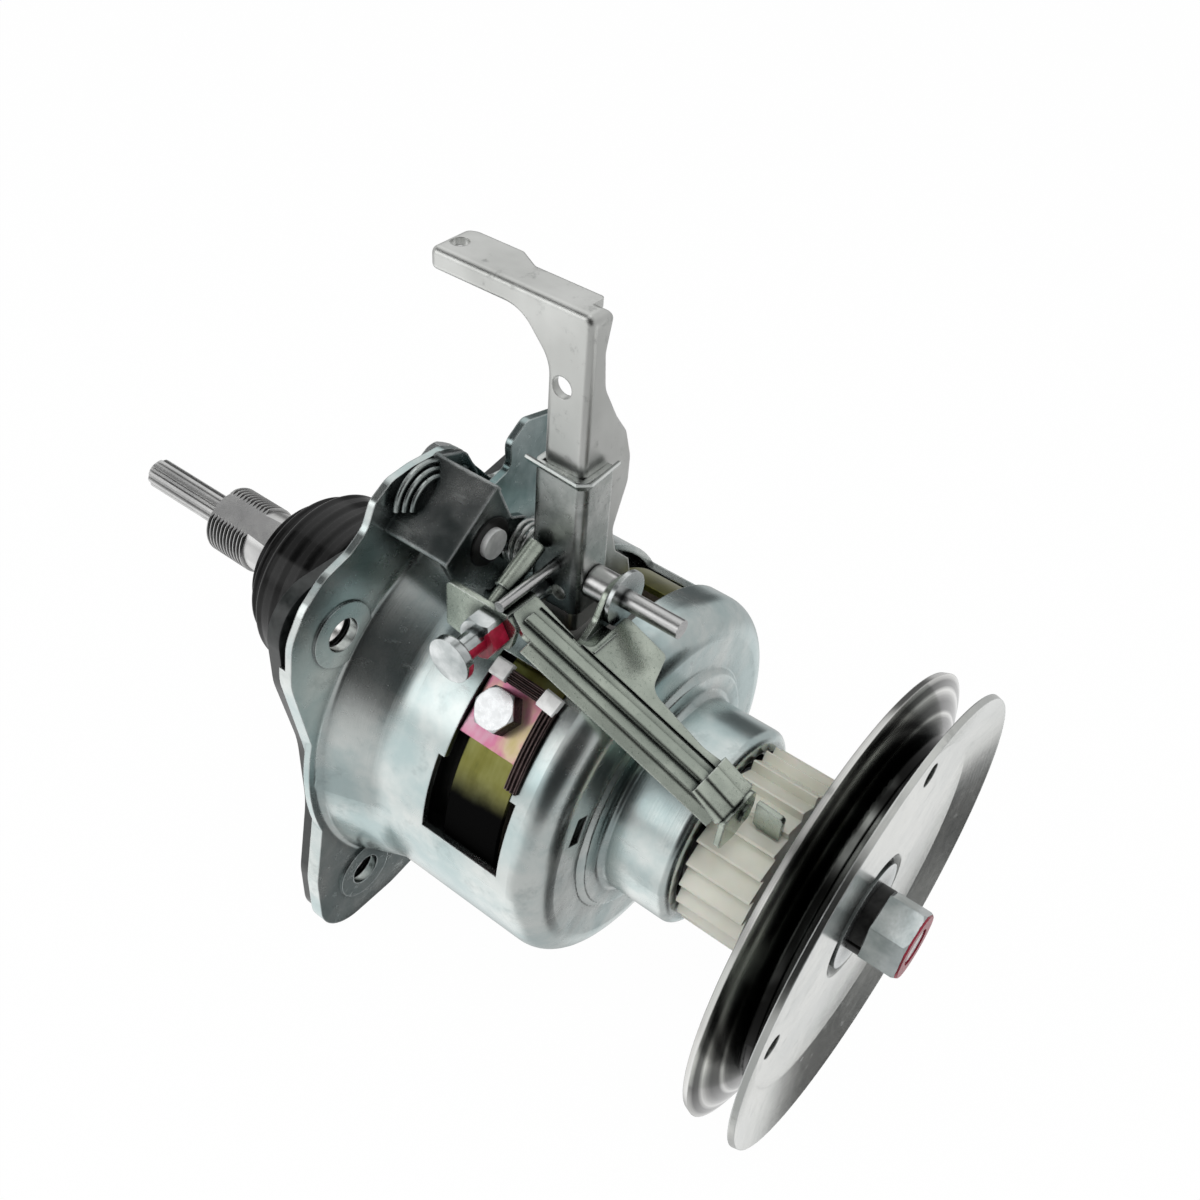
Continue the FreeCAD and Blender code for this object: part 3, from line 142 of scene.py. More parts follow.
# One material: a Principled shader and the nodes that feed it.
class Finish(Graph):
    def __init__(self, name):
        self.material = bpy.data.materials.new(name)
        self.material.use_nodes = True
        super().__init__(self.material.node_tree)
        self.tree.nodes.clear()
        self.out = self.tree.nodes.new("ShaderNodeOutputMaterial")
        self.shader = self.tree.nodes.new("ShaderNodeBsdfPrincipled")
        self.tree.links.new(self.shader.outputs[0], self.out.inputs[0])
        self.point = self.node("ShaderNodeTexCoord", {}, {}, "Object")
        self.split = {}

    def set(self, **values):
        for key, value in values.items():
            self.feed(self.shader.inputs[key.replace("_", " ")], value)

    # one coordinate of the object's own point, in millimetres
    def axis(self, name):
        if name not in self.split:
            self.split[name] = self.node("ShaderNodeSeparateXYZ", {}, {0: self.point}, name) * 1000.0
        return self.split[name]

    def normal(self):
        return self.node("ShaderNodeNewGeometry", {}, {}, "Normal")

    def stretch(self, factors):
        return self.node("ShaderNodeMapping", {}, {"Vector": self.point, "Scale": factors})

    def noise(self, scale, detail=3.0, roughness=0.55, at=None):
        return self.node("ShaderNodeTexNoise", {}, {"Vector": at or self.point, "Scale": scale,
                                                    "Detail": detail, "Roughness": roughness}, "Fac")

    def mix(self, amount, a, b):
        made = self.tree.nodes.new("ShaderNodeMix")
        made.data_type = "RGBA"
        for index, value in ((0, amount), (6, a), (7, b)):
            self.feed(made.inputs[index], value)
        return Strand(self, made.outputs[2])

    def ramp(self, amount, stops):
        return self.node("ShaderNodeValToRGB", {"stops": stops}, {"Fac": amount}, "Color")

    # distance from the shaft's axis, in millimetres
    def radius(self):
        y, z = self.axis("Y"), self.axis("Z")
        return (y * y + z * z) ** 0.5

    # fine marks that run round the shaft
    def turned(self, scale):
        marks = {0: self.axis("X") * scale, 1: self.radius() * scale, 2: self.axis("Y") * 0.02}
        return self.noise(1.0, 3.0, 0.6, self.node("ShaderNodeCombineXYZ", {}, marks))

    def soften(self, radius):
        return self.node("ShaderNodeBevel", {"samples": 4}, {"Radius": radius * mm})

    # height in millimetres, over edges rounded to the given radius
    def bump(self, height, rounded=0.0):
        inputs = {"Height": height, "Distance": mm, "Strength": 1.0}
        if rounded:
            inputs["Normal"] = self.soften(rounded)
        self.set(Normal=self.node("ShaderNodeBump", {}, inputs))
        return self.material

    # 1 on the outer and inner edges of a shape, 0 on its flats; the finishes paint highlights along edges
    # with it
    def edges(self, radius, low=0.02, high=0.16):
        same = self.vectorMaths("DOT_PRODUCT", {0: self.normal(), 1: self.soften(radius)}, "Value")
        return (1 - same).step(low, high)

    # 1 in the open, less in folds and against other pieces; the finishes paint shade into their colour with
    # it
    def openness(self, reach, power=1.6):
        seen = self.node("ShaderNodeAmbientOcclusion", {"samples": 4}, {"Distance": reach * mm}, "AO")
        return seen ** power


# Zinc plating: blotches in a grey mirror, fine grain, scuffs, stains, painted highlights along the edges
# (partly rubbed wear) and painted shade in folds and against other pieces. The kinds differ in what
# they give. Lengths are in millimetres, and scales are in turns a metre.
zincLook = {
    "blotch": 38.0,
    "cloud": 121.6,
    "grain": 1900.0,
    "waves": 95.0,
    "scuff": 260.0,
    "scuffRun": (0.25, 1.0, 1.6),
    "rubbedAndHighlight": (0.80, 0.83, 0.83),
    "reach": 5.0,
    "paintedShade": (0.03, 0.04, 0.04),
    "turned": 0.0,
    "wave": 0.12,
    "edge": 0.45,
    "stain": 0.35,
}
zincKinds = {
    "zincSheet": {"light": (0.76, 0.80, 0.78), "dark": (0.50, 0.61, 0.61), "rough": (0.15, 0.27),
                  "turned": 0.012},
    # The flange's kind is a darker copy of the drum's zinc: painted shade for the dark that the flange
    # mirrors.
    "flangeShadedZinc": {"light": (0.42, 0.50, 0.50), "dark": (0.18, 0.27, 0.27), "rough": (0.13, 0.27),
                   "wave": 0.3, "edge": 0.6},
    "pulleyZinc": {"light": (0.76, 0.77, 0.74), "dark": (0.60, 0.62, 0.60), "rough": (0.1, 0.2),
                   "turned": 0.02, "wave": 0.05},
    "bracketZinc": {"light": (0.58, 0.60, 0.59), "dark": (0.13, 0.16, 0.16), "rough": (0.16, 0.3),
                    "wave": 0.14, "edge": 1.1, "stain": 0.6},
    "plainZinc": {"light": (0.78, 0.80, 0.80), "dark": (0.6, 0.64, 0.64), "rough": (0.16, 0.3),
                  "wave": 0.03, "edge": 0.3},
    "rimZinc": {"light": (0.86, 0.88, 0.86), "dark": (0.6, 0.64, 0.62), "rough": (0.14, 0.24),
                "edge": 0.3},
    "curlZinc": {"light": (0.66, 0.70, 0.68), "dark": (0.16, 0.20, 0.20), "rough": (0.14, 0.24),
                 "wave": 0.4, "edge": 0.2, "stain": 0.8},
}


def zincFinish(name):
    look = {**zincLook, **zincKinds[name]}
    f = Finish(name)
    blotch = f.noise(look["blotch"], 4.0, 0.6)
    grain = f.noise(look["grain"], 2.0)
    scuffs = f.noise(look["scuff"], 5.0, 0.7, f.stretch(look["scuffRun"]))
    cloud = f.noise(look["cloud"], 5.0, 0.7)
    stained = tuple(part * 0.55 for part in look["dark"])
    tone = f.mix(blotch.step(0.36, 0.66), look["dark"], look["light"])
    tone = f.mix(cloud.step(0.52, 0.75) * look["stain"], tone, stained)
    tone = f.mix(scuffs.step(0.6, 0.74) * 0.3, tone, look["rubbedAndHighlight"])
    # painted highlight: the edges brightened towards the rubbed colour, partly rubbed wear
    tone = f.mix(f.edges(look["edge"]) * 0.75, tone, look["rubbedAndHighlight"])
    # painted shade: the colour darkened in folds and against other pieces
    f.set(Base_Color=f.mix(f.openness(look["reach"]), look["paintedShade"], tone), Metallic=1.0)
    smooth, dull = look["rough"]
    f.set(Roughness=smooth + (dull - smooth) * blotch + grain * 0.06 + scuffs.step(0.58, 0.7) * 0.08)
    height = f.noise(look["waves"], 2.0, 0.4) * look["wave"] + grain * 0.004
    if look["turned"]:
        height = height + f.turned(3.0) * look["turned"]
    return f.bump(height, look["edge"])


# The pulley half behind the belt has the room's reflection painted on in rings: shares of the rim's radius,
# and greys.
grooveReflectionPaint = {
    "rim": 61.5,
    "rings": [(0.72, 0.01), (0.815, 0.015), (0.832, 0.12), (0.848, 0.72), (0.862, 0.02), (0.895, 0.03),
              (0.915, 0.30), (0.935, 0.84), (0.950, 0.10), (0.970, 0.06), (0.982, 0.45), (1.0, 0.86)],
    "waver": 0.012,
    "plain": (0.52, 0.54, 0.51),
    "plainShare": 0.6,
}


def grooveZinc():
    look = grooveReflectionPaint
    f = Finish("grooveZinc")
    marks = f.turned(2.0)
    wash = f.noise(28.0)
    tones = [(place, (grey, grey, grey * 0.97)) for place, grey in look["rings"]]
    rings = f.ramp(f.radius() * (1 / look["rim"]) + (marks - 0.5) * look["waver"], tones)
    plain = wash.step(0.5, 0.68) * look["plainShare"]
    # painted reflection: the rings of grey in the colour, broken by plain patches
    f.set(Base_Color=f.mix(plain, rings, look["plain"]), Metallic=1.0, Roughness=0.1 + marks * 0.06)
    return f.bump(f.noise(30.0) * 0.05, 0.4)


# The sleeve round the lever's leg: painted shade, dark towards its foot on the side that faces out.
wrapLook = {
    "pale": ((0.5, 0.53, 0.51), (0.7, 0.72, 0.7)),
    "dark": (0.05, 0.06, 0.06),
    "scuffed": (0.2, 0.22, 0.22),
    "rubbedAndHighlight": (0.8, 0.82, 0.8),
    "drift": 22.0,
    "foot": 4.0,
    "mouth": 3.0,
    "edge": 0.6,
}


def wrapZinc():
    look = wrapLook
    f = Finish("wrapZinc")
    low, high = (corner.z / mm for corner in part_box("lever_wrap"))
    cloud = f.noise(120.0, 4.0, 0.65)
    scuffs = f.noise(420.0, 5.0, 0.7)
    height = (f.axis("Z") + (cloud - 0.5) * look["drift"]).step(low + look["foot"], high - look["mouth"])
    shadedSide = f.node("ShaderNodeSeparateXYZ", {}, {0: f.normal()}, "Y")
    tone = f.mix(cloud.step(0.35, 0.65), *look["pale"])
    # painted shade: the side that faces out darkened, most towards the foot
    tone = f.mix(shadedSide.step(0.4, 0.8) * (1 - height * 0.8), tone, look["dark"])
    tone = f.mix(scuffs.step(0.58, 0.72) * 0.4, tone, look["scuffed"])
    # painted highlight along the edges, partly rubbed wear
    tone = f.mix(f.edges(look["edge"]) * 0.8, tone, look["rubbedAndHighlight"])
    f.set(Base_Color=tone, Metallic=1.0, Roughness=0.2 + scuffs * 0.18)
    return f.bump(scuffs * 0.03 + cloud * 0.05, look["edge"])


# The pressed fork: speckled and greenish, with painted highlights on its edges, partly rubbed wear, and
# painted shade, black, in its valleys.
forkLook = {
    "tones": ((0.42, 0.47, 0.41), (0.64, 0.70, 0.61)),
    "speck": (0.2, 0.25, 0.21),
    "rubbedAndHighlight": (0.80, 0.84, 0.80),
    "paintedValleyShade": (0.02, 0.03, 0.028),
    "reach": 3.5,
    "depth": 3.0,
    "edge": 0.6,
}


def forkZinc():
    look = forkLook
    f = Finish("forkZinc")
    specks = f.noise(1300.0, 4.0, 0.7)
    tone = f.mix(f.noise(60.0).step(0.35, 0.7), *look["tones"])
    tone = f.mix(specks.step(0.55, 0.7) * 0.5, tone, look["speck"])
    # painted highlight along the edges, partly rubbed wear
    tone = f.mix(f.edges(look["edge"]) * 0.85, tone, look["rubbedAndHighlight"])
    # painted shade: black in the valleys and against other pieces
    tone = f.mix(f.openness(look["reach"], look["depth"]), look["paintedValleyShade"], tone)
    f.set(Base_Color=tone, Metallic=1.0, Roughness=0.19 + specks * 0.14)
    return f.bump(specks * 0.03 + f.noise(90.0) * 0.16, look["edge"])


# Pale, dull plating. Its paleness is a painted highlight on the bracket's rivet and the window's tabs, and
# it has painted shade in its folds.
whiteLook = {"tones": ((0.78, 0.79, 0.78), (0.95, 0.96, 0.95)), "paintedFoldShade": (0.2, 0.2, 0.2), "reach": 1.5}


def whiteZinc(name, metal):
    look = whiteLook
    f = Finish(name)
    cloud = f.noise(420.0, 4.0)
    # pale tones: a painted highlight
    tone = f.mix(cloud.step(0.35, 0.65), *look["tones"])
    # painted shade: the colour darkened in folds and against other pieces
    f.set(Base_Color=f.mix(f.openness(look["reach"]), look["paintedFoldShade"], tone))
    f.set(Metallic=metal, Roughness=0.3 + cloud * 0.2)
    return f.bump(cloud * 0.04, 0.3)


# Satin steel of the brake lever, ground along its length, with painted highlights along its edges.
leverLook = {
    "tones": ((0.60, 0.61, 0.59), (0.74, 0.75, 0.73)),
    "smear": (0.26, 0.27, 0.265),
    "rubbedAndHighlight": (0.8, 0.8, 0.78),
    "grindRun": (1.0, 1.0, 0.04),
}


def leverSteel():
    look = leverLook
    f = Finish("leverSteel")
    streaks = f.noise(420.0, 4.0, 0.6, f.stretch(look["grindRun"]))
    smears = f.noise(210.0, 5.0, 0.7)
    tone = f.mix(f.noise(45.0).step(0.3, 0.7), *look["tones"])
    tone = f.mix(smears.step(0.56, 0.74) * 0.5, tone, look["smear"])
    # painted highlight along the edges, partly rubbed wear
    tone = f.mix(f.edges(0.6) * 0.6, tone, look["rubbedAndHighlight"])
    f.set(Base_Color=tone, Metallic=1.0)
    f.set(Roughness=0.24 + streaks * 0.16 + smears.step(0.55, 0.7) * 0.08)
    return f.bump(streaks * 0.015 + f.noise(80.0) * 0.09, 0.5)


# Ground shafts: marks round the axis, painted highlights on the crests and painted shade, black, in the
# grooves.
groundLook = {
    "tones": [(0.3, (0.55, 0.55, 0.55)), (0.7, (0.74, 0.74, 0.73))],
    "paintedCrestHighlight": (0.92, 0.92, 0.91),
    "groove": (0.012, 0.012, 0.012),
    "edge": 0.15,
    "reach": 1.3,
    "depth": 3.0,
}


def groundSteel():
    look = groundLook
    f = Finish("groundSteel")
    marks = f.turned(9.0)
    # painted highlight on the crests and edges
    tone = f.mix(f.edges(look["edge"]) * 0.7, f.ramp(f.noise(90.0), look["tones"]), look["paintedCrestHighlight"])
    # painted shade: black in the grooves and against other pieces
    tone = f.mix(f.openness(look["reach"], look["depth"]), look["groove"], tone)
    f.set(Base_Color=tone, Metallic=1.0, Roughness=0.16 + marks * 0.16)
    return f.bump(marks * 0.02, look["edge"])


# Finishes of one grain. It sets the tone and adds its share to the roughness and the height.
grainLooks = {
    "darkSteel": {"turned": 4.0, "tones": [(0.3, (0.10, 0.10, 0.10)), (0.7, (0.22, 0.22, 0.21))],
                  "metal": 1.0, "rough": (0.34, 0.12), "height": 0.01},
    "springSteel": {"noise": (500.0, 4.0), "tones": [(0.3, (0.38, 0.39, 0.38)), (0.7, (0.62, 0.63, 0.62))],
                    "metal": 1.0, "rough": (0.2, 0.14), "height": 0.01},
    "blackSteel": {"noise": (700.0, 4.0),
                   "tones": [(0.3, (0.006, 0.006, 0.006)), (0.75, (0.025, 0.025, 0.024))],
                   "metal": 0.4, "rough": (0.3, 0.2), "height": 0.02, "rounded": 0.3},
    "liningFelt": {"noise": (1500.0, 5.0, 0.7),
                   "tones": [(0.3, (0.03, 0.025, 0.02)), (0.7, (0.10, 0.08, 0.06))],
                   "metal": 0.0, "rough": (0.9, 0.0), "height": 0.2},
    "bronze": {"noise": (1600.0, 4.0, 0.7),
               "tones": [(0.35, (0.30, 0.17, 0.06)), (0.65, (0.55, 0.36, 0.16))],
               "metal": 0.9, "rough": (0.4, 0.2), "height": 0.03},
}


def grainFinish(name):
    look = grainLooks[name]
    f = Finish(name)
    grain = f.turned(look["turned"]) if "turned" in look else f.noise(*look["noise"])
    smooth, added = look["rough"]
    f.set(Base_Color=f.ramp(grain, look["tones"]), Metallic=look["metal"], Roughness=smooth + grain * added)
    return f.bump(grain * look["height"], look.get("rounded", 0.0))


# The plate behind the flange is painted black, and bare metal round each bolt hole.
flangeHole = {
    "at": 45.75,
    "bare": 6.4,
    "blur": 0.4,
    "paint": [(0.3, (0.008, 0.010, 0.010)), (0.75, (0.03, 0.034, 0.033))],
    "metal": (0.86, 0.85, 0.83),
}


def housingBlack():
    look = flangeHole
    f = Finish("housingBlack")
    spots = f.noise(600.0, 4.0)
    y, z = f.axis("Y").size() - look["at"], f.axis("Z").size() - look["at"]
    bare = 1 - ((y * y + z * z) ** 0.5).step(look["bare"] - look["blur"], look["bare"] + look["blur"])
    f.set(Base_Color=f.mix(bare, f.ramp(spots, look["paint"]), look["metal"]), Metallic=bare)
    f.set(Roughness=0.22 + spots * 0.2)
    return f.bump(spots * 0.02 + f.noise(120.0) * 0.06, 0.4)


# The seal's boot is stepped along the shaft, with a little dust.
sealLook = {
    "tones": [(0.35, (0.002, 0.002, 0.002)), (0.8, (0.008, 0.008, 0.008))],
    "ridgeTurn": 1.15,
    "ridge": 0.8,
}


def sealRubber():
    look = sealLook
    f = Finish("sealRubber")
    dust = f.noise(900.0, 5.0, 0.7)
    f.set(Base_Color=f.ramp(dust, look["tones"]), Roughness=0.3 + dust * 0.14, Specular_IOR_Level=0.2)
    f.set(Coat_Weight=0.35, Coat_Roughness=0.04)
    ridges = (f.axis("X") * look["ridgeTurn"]).sine()
    return f.bump(dust * 0.005 + ridges * look["ridge"] + f.noise(60.0) * 0.16)


# Yellow chromate on the brake band: olive, gold and green, with rubbed stripes. Nearer to the +Y
# side than "shadeFrom" to "shadeTo", in degrees, it is painted in shadow: black, with no metal or shine.
bandLook = {
    "tones": [(0.30, (0.11, 0.12, 0.035)), (0.42, (0.22, 0.215, 0.055)), (0.52, (0.28, 0.28, 0.095)),
              (0.62, (0.24, 0.28, 0.14)), (0.75, (0.40, 0.33, 0.20))],
    "paintedShade": (0.004, 0.004, 0.004),
    "shadeFrom": 23,
    "shadeTo": 34,
}


def bandChromate():
    look = bandLook
    f = Finish("bandChromate")
    drift = f.noise(55.0, 4.0, 0.6)
    streaks = f.noise(240.0, 4.0, 0.6, f.stretch((1.0, 0.15, 0.15)))
    tone = f.ramp(drift * 0.6 + streaks * 0.4, look["tones"])
    around = f.axis("Z").angle(f.axis("Y")) + drift * 0.14
    # painted shadow: black, bare of metal and shine, on the +Y side of the given angles
    outOfShade = around.step(math.radians(look["shadeFrom"]), math.radians(look["shadeTo"]))
    f.set(Base_Color=f.mix(outOfShade, look["paintedShade"], tone), Metallic=outOfShade * 0.95)
    f.set(Roughness=0.26 + streaks * 0.16, Specular_IOR_Level=outOfShade * 0.5)
    return f.bump(streaks * 0.02 + f.noise(80.0) * 0.1, 0.3)


# Iridescent chromate on the anchor plate: pink, pale yellow and a little green.
plateTones = [(0.30, (0.50, 0.44, 0.14)), (0.42, (0.66, 0.52, 0.36)), (0.50, (0.66, 0.22, 0.36)),
              (0.60, (0.72, 0.44, 0.54)), (0.78, (0.42, 0.48, 0.30))]


def plateChromate():
    f = Finish("plateChromate")
    drift = f.noise(70.0, 3.0, 0.5)
    streaks = f.noise(300.0, 4.0, 0.6, f.stretch((1.0, 0.3, 0.3)))
    tone = f.ramp(drift * 0.75 + streaks * 0.25, plateTones)
    f.set(Base_Color=tone, Metallic=0.85, Roughness=0.26 + streaks * 0.12)
    return f.bump(f.noise(110.0) * 0.08 + streaks * 0.01, 0.4)


nylonTones = [(0.3, (0.66, 0.66, 0.57)), (0.7, (0.78, 0.78, 0.70))]


def nylonWhite():
    f = Finish("nylonWhite")
    cloud = f.noise(70.0)
    f.set(Base_Color=f.ramp(cloud, nylonTones), Roughness=0.34 + cloud * 0.16)
    f.set(Subsurface_Weight=0.15, Subsurface_Scale=0.002)
    return f.bump(f.noise(1200.0) * 0.006 + cloud * 0.02, 0.35)


# Locking paint brushed by hand over bare zinc. The mask says where, 0 to 1.
paintLook = {
    "colour": (0.22, 0.002, 0.018),
    "thin": (0.34, 0.010, 0.040),
    "ragged": 420.0,
    "zincRoughness": 0.2,
}


def paintOver(f, mask, zinc):
    ragged = f.noise(paintLook["ragged"], 4.0, 0.65)
    cover = (mask + (ragged - 0.5) * 0.7).step(0.46, 0.54)
    colour = f.mix(ragged.step(0.4, 0.65), paintLook["colour"], paintLook["thin"])
    f.set(Base_Color=f.mix(cover, zinc, colour), Metallic=1 - cover)
    f.set(Roughness=paintLook["zincRoughness"] + cover * 0.12)
    return f.bump(cover * 0.12 + ragged * 0.03, 0.3)


# The pulley nut has paint on its end face, thin over the shaft's end.
nutLook = {
    "zinc": [(0.3, (0.42, 0.47, 0.47)), (0.7, (0.68, 0.72, 0.72))],
    "paintDepth": (0.1, 0.9),
    "thinWithin": (3.2, 5.0),
    "thin": 0.35,
}


def paintedNut():
    look = nutLook
    f = Finish("paintedNut")
    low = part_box("pulley_nut")[0].x / mm
    mask = 1 - (f.axis("X") - low).step(*look["paintDepth"])
    mask = mask * (look["thin"] + (1 - look["thin"]) * f.radius().step(*look["thinWithin"]))
    return paintOver(f, mask, f.ramp(f.noise(160.0), look["zinc"]))


# The adjusting screw lies along Y. Paint covers the side that faces "towards", beyond the given
# distances from the screw's line, between "bareFace" and "paintEnd" behind the head's free end.
screwLook = {
    "x": -41.9,
    "z": 58.5,
    "end": 45.2,
    "towards": (-0.8, -0.6),
    "bareFace": 0.5,
    "headHeight": 2.6,
    "paintEnd": 14.2,
    "blur": 0.2,
    "screwFrom": (1.0, 3.7),
    "nutFrom": (0.3, 0.3),
    "zinc": [(0.3, (0.40, 0.44, 0.44)), (0.7, (0.80, 0.83, 0.83))],
    "paintedFoldShade": (0.04, 0.04, 0.04),
}


def paintedScrew(name, onThread, onHead):
    look = screwLook
    f = Finish(name)
    blur = look["blur"]
    along = f.axis("Y") * -1 + look["end"]
    side = (f.axis("X") - look["x"]) * look["towards"][0] + (f.axis("Z") - look["z"]) * look["towards"][1]
    head = 1 - along.step(look["headHeight"] - blur, look["headHeight"] + blur)
    mask = (side - onThread - head * (onHead - onThread)).step(-0.9, 0.9)
    mask = mask * along.step(look["bareFace"] - blur, look["bareFace"] + blur)
    mask = mask * (1 - along.step(look["paintEnd"], look["paintEnd"] + 2 * blur))
    # painted shade: the zinc darkened in folds and against other pieces
    zinc = f.mix(f.openness(2.0, 2.0), look["paintedFoldShade"], f.ramp(f.noise(160.0), look["zinc"]))
    return paintOver(f, mask, zinc)


# The band's bolt: a painted highlight on top of its head and painted dark reflection round the sides.
anchorBoltPaintedLight = {"side": (0.06, 0.06, 0.07), "top": (0.86, 0.88, 0.89), "topDepth": (0.9, 0.3)}


def anchorBoltZinc():
    look = anchorBoltPaintedLight
    f = Finish("anchorBoltZinc")
    low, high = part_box("anchor_bolt")
    middle = (low + high) / 2
    angle = math.atan2(middle.z, middle.y)
    height = f.axis("Y") * math.cos(angle) + f.axis("Z") * math.sin(angle)
    mesh = nodes["anchor_bolt"].data
    top = max(math.cos(angle) * v.co.y + math.sin(angle) * v.co.z for v in mesh.vertices) / mm
    # painted highlight on the head's top face; below it, the painted dark of the sides
    highlitTop = height.step(top - look["topDepth"][0], top - look["topDepth"][1])
    spots = f.noise(700.0, 4.0)
    f.set(Base_Color=f.mix(highlitTop, look["side"], look["top"]), Metallic=1.0, Roughness=0.18 + spots * 0.2)
    return f.bump(spots * 0.02, 0.35)


def dressNodes():
    finishes = [
        ("drum_housing", zincFinish("zincSheet")),
        ("pivot_support", zincFinish("flangeShadedZinc")),
        ("bearing_housing", housingBlack()),
        ("lever_bracket", zincFinish("bracketZinc")),
        ("pulley_front", zincFinish("pulleyZinc")),
        ("pulley_rear", grooveZinc()),
        ("brake_lever", leverSteel()),
        ("lever_wrap", wrapZinc()),
        ("pawl_fork pawl", forkZinc()),
        ("brake_band", bandChromate()),
        ("anchor_plate", plateChromate()),
        ("pulley_nut", paintedNut()),
        ("jack_screw", paintedScrew("paintedScrew", *screwLook["screwFrom"])),
        ("jack_nut", paintedScrew("paintedJackNut", *screwLook["nutFrom"])),
        ("anchor_bolt", anchorBoltZinc()),
        ("bracket_rivet", whiteZinc("rivetZinc", 0.35)),
        ("hub_washer pivot_washer bracket_bolts", zincFinish("plainZinc")),
        ("spring_washer bracket_bush", grainFinish("blackSteel")),
        ("shaft_seal", sealRubber()),
        ("ratchet_wheel", nylonWhite()),
        ("brake_lining", grainFinish("liningFelt")),
        ("brake_drum drum_cover", grainFinish("darkSteel")),
        ("lever_spring clutch_spring", grainFinish("springSteel")),
        ("upper_shaft_bush lower_shaft_bush hub_bush", grainFinish("bronze")),
        ("spin_shaft pulsator_shaft input_shaft pivot_pin lever_cross_pin pivot_sleeve planet_carrier "
         "carrier_cover planet_pins sun_gear ring_gear clutch_bush planet_gear_1 planet_gear_2 "
         "planet_gear_3 planet_gear_4 lower_bearing_outer_race lower_bearing_inner_race "
         "lower_bearing_balls upper_bearing_outer_race upper_bearing_inner_race upper_bearing_balls",
         groundSteel()),
    ]
    for names, material in finishes:
        for name in names.split():
            mesh = nodes[name].data
            mesh.materials.clear()
            mesh.materials.append(material)
            for polygon in mesh.polygons:
                polygon.material_index = 0
    print("finishes set")


dressNodes()


# Carries a flat outline along a path, in millimetres. Each point of the path has its own up direction.
def sweep(shape, path, ups, outline):
    rings = []
    for index, (point, up) in enumerate(zip(path, ups)):
        before, after = path[max(index - 1, 0)], path[min(index + 1, len(path) - 1)]
        ahead = (after - before).normalized()
        side = ahead.cross(up).normalized()
        rise = side.cross(ahead)
        rings.append([shape.verts.new((point + side * a + rise * b) * mm) for a, b in outline])
    for here, there in zip(rings, rings[1:]):
        for index in range(len(outline)):
            after = (index + 1) % len(outline)
            shape.faces.new((here[index], here[after], there[after], there[index]))
    shape.faces.new(rings[0][::-1])
    shape.faces.new(rings[-1])


def circle(radius, sides=10):
    turns = [math.tau * index / sides for index in range(sides)]
    return [(radius * math.cos(turn), radius * math.sin(turn)) for turn in turns]


# a point round a line along X: the place along it, the angle in degrees, the distance from it
def roundX(x, angle, radius):
    turn = math.radians(angle)
    return Vector((x, radius * math.cos(turn), radius * math.sin(turn)))


# points from start to end over the drum, and the way out from it at each
def drumPath(start, end, steps):
    spots = [[a + (b - a) * index / steps for a, b in zip(start, end)] for index in range(steps + 1)]
    return [roundX(*spot) for spot in spots], [roundX(0, spot[1], 1) for spot in spots]


# one piece made of several sweeps
def sweptPiece(name, sweeps, body, material):
    mesh = bpy.data.meshes.new(name)
    shape = bmesh.new()
    for path, ups, outline in sweeps:
        sweep(shape, path, ups, outline)
    bmesh.ops.recalc_face_normals(shape, faces=shape.faces)
    shape.to_mesh(mesh)
    shape.free()
    mesh.materials.append(material)
    piece = bpy.data.objects.new(name, mesh)
    bpy.context.scene.collection.objects.link(piece)
    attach(piece, body)


# The lip turned out round the mouth of the lever's sleeve.
wrapRim = {
    "corners": [(-35.4, 11.6, 93.0), (-49.8, 11.6, 92.0), (-51.1, 10.3, 92.0), (-51.1, 0.4, 92.9)],
    "lip": [(-0.3, -0.9), (0.1, -1.5), (1.5, 0.4), (1.3, 1.1), (0.6, 0.9)],
}


def makeWrapRim():
    path = [Vector(corner) for corner in wrapRim["corners"]]
    ups = [Vector((0, 0, 1))] * len(path)
    sweptPiece("wrap_rim", [(path, ups, wrapRim["lip"])], "lever_set", zincFinish("rimZinc"))


# Round the band's anchor: two tabs, white as a painted highlight, and a folded guide along two sides of the
# window.
anchorGuide = {
    "folds": [(-1.7, 0.0), (-1.7, 0.9), (-1.2, 1.2), (-0.8, 0.5), (-0.2, 1.3), (0.3, 0.5), (0.8, 1.3),
              (1.3, 0.5), (1.7, 1.0), (1.7, 0.0)],
    "top": ((-44.6, 57.0, 52.6), (-57.6, 56.6, 53.0)),
    "side": ((-59.9, 55.0, 53.1), (-60.2, 32.0, 52.3)),
    "tabs": {"window_tab_near": ((-41.3, 57.4, 52.2), (-46.3, 57.2, 52.9)),
             "window_tab_far": ((-56.6, 56.6, 53.2), (-61.7, 56.0, 53.4))},
    "tab": [(-2.3, 0.0), (-2.4, 1.2), (-1.9, 1.7), (1.8, 1.7), (2.3, 1.2), (2.3, 0.0)],
    "foldSteps": 14,
    "tabSteps": 4,
    "tones": [(0.35, (0.018, 0.014, 0.014)), (0.7, (0.10, 0.07, 0.07))],
    "rubbedAndHighlight": (0.62, 0.46, 0.44),
}


def guideSteel():
    f = Finish("guideSteel")
    cloud = f.noise(220.0, 4.0)
    tone = f.ramp(cloud, anchorGuide["tones"])
    # painted highlight along the edges, partly rubbed wear
    tone = f.mix(f.edges(0.35, 0.01, 0.08) * 0.6, tone, anchorGuide["rubbedAndHighlight"])
    f.set(Base_Color=tone, Metallic=0.9, Roughness=0.26 + cloud * 0.2)
    return f.bump(cloud * 0.05, 0.2)


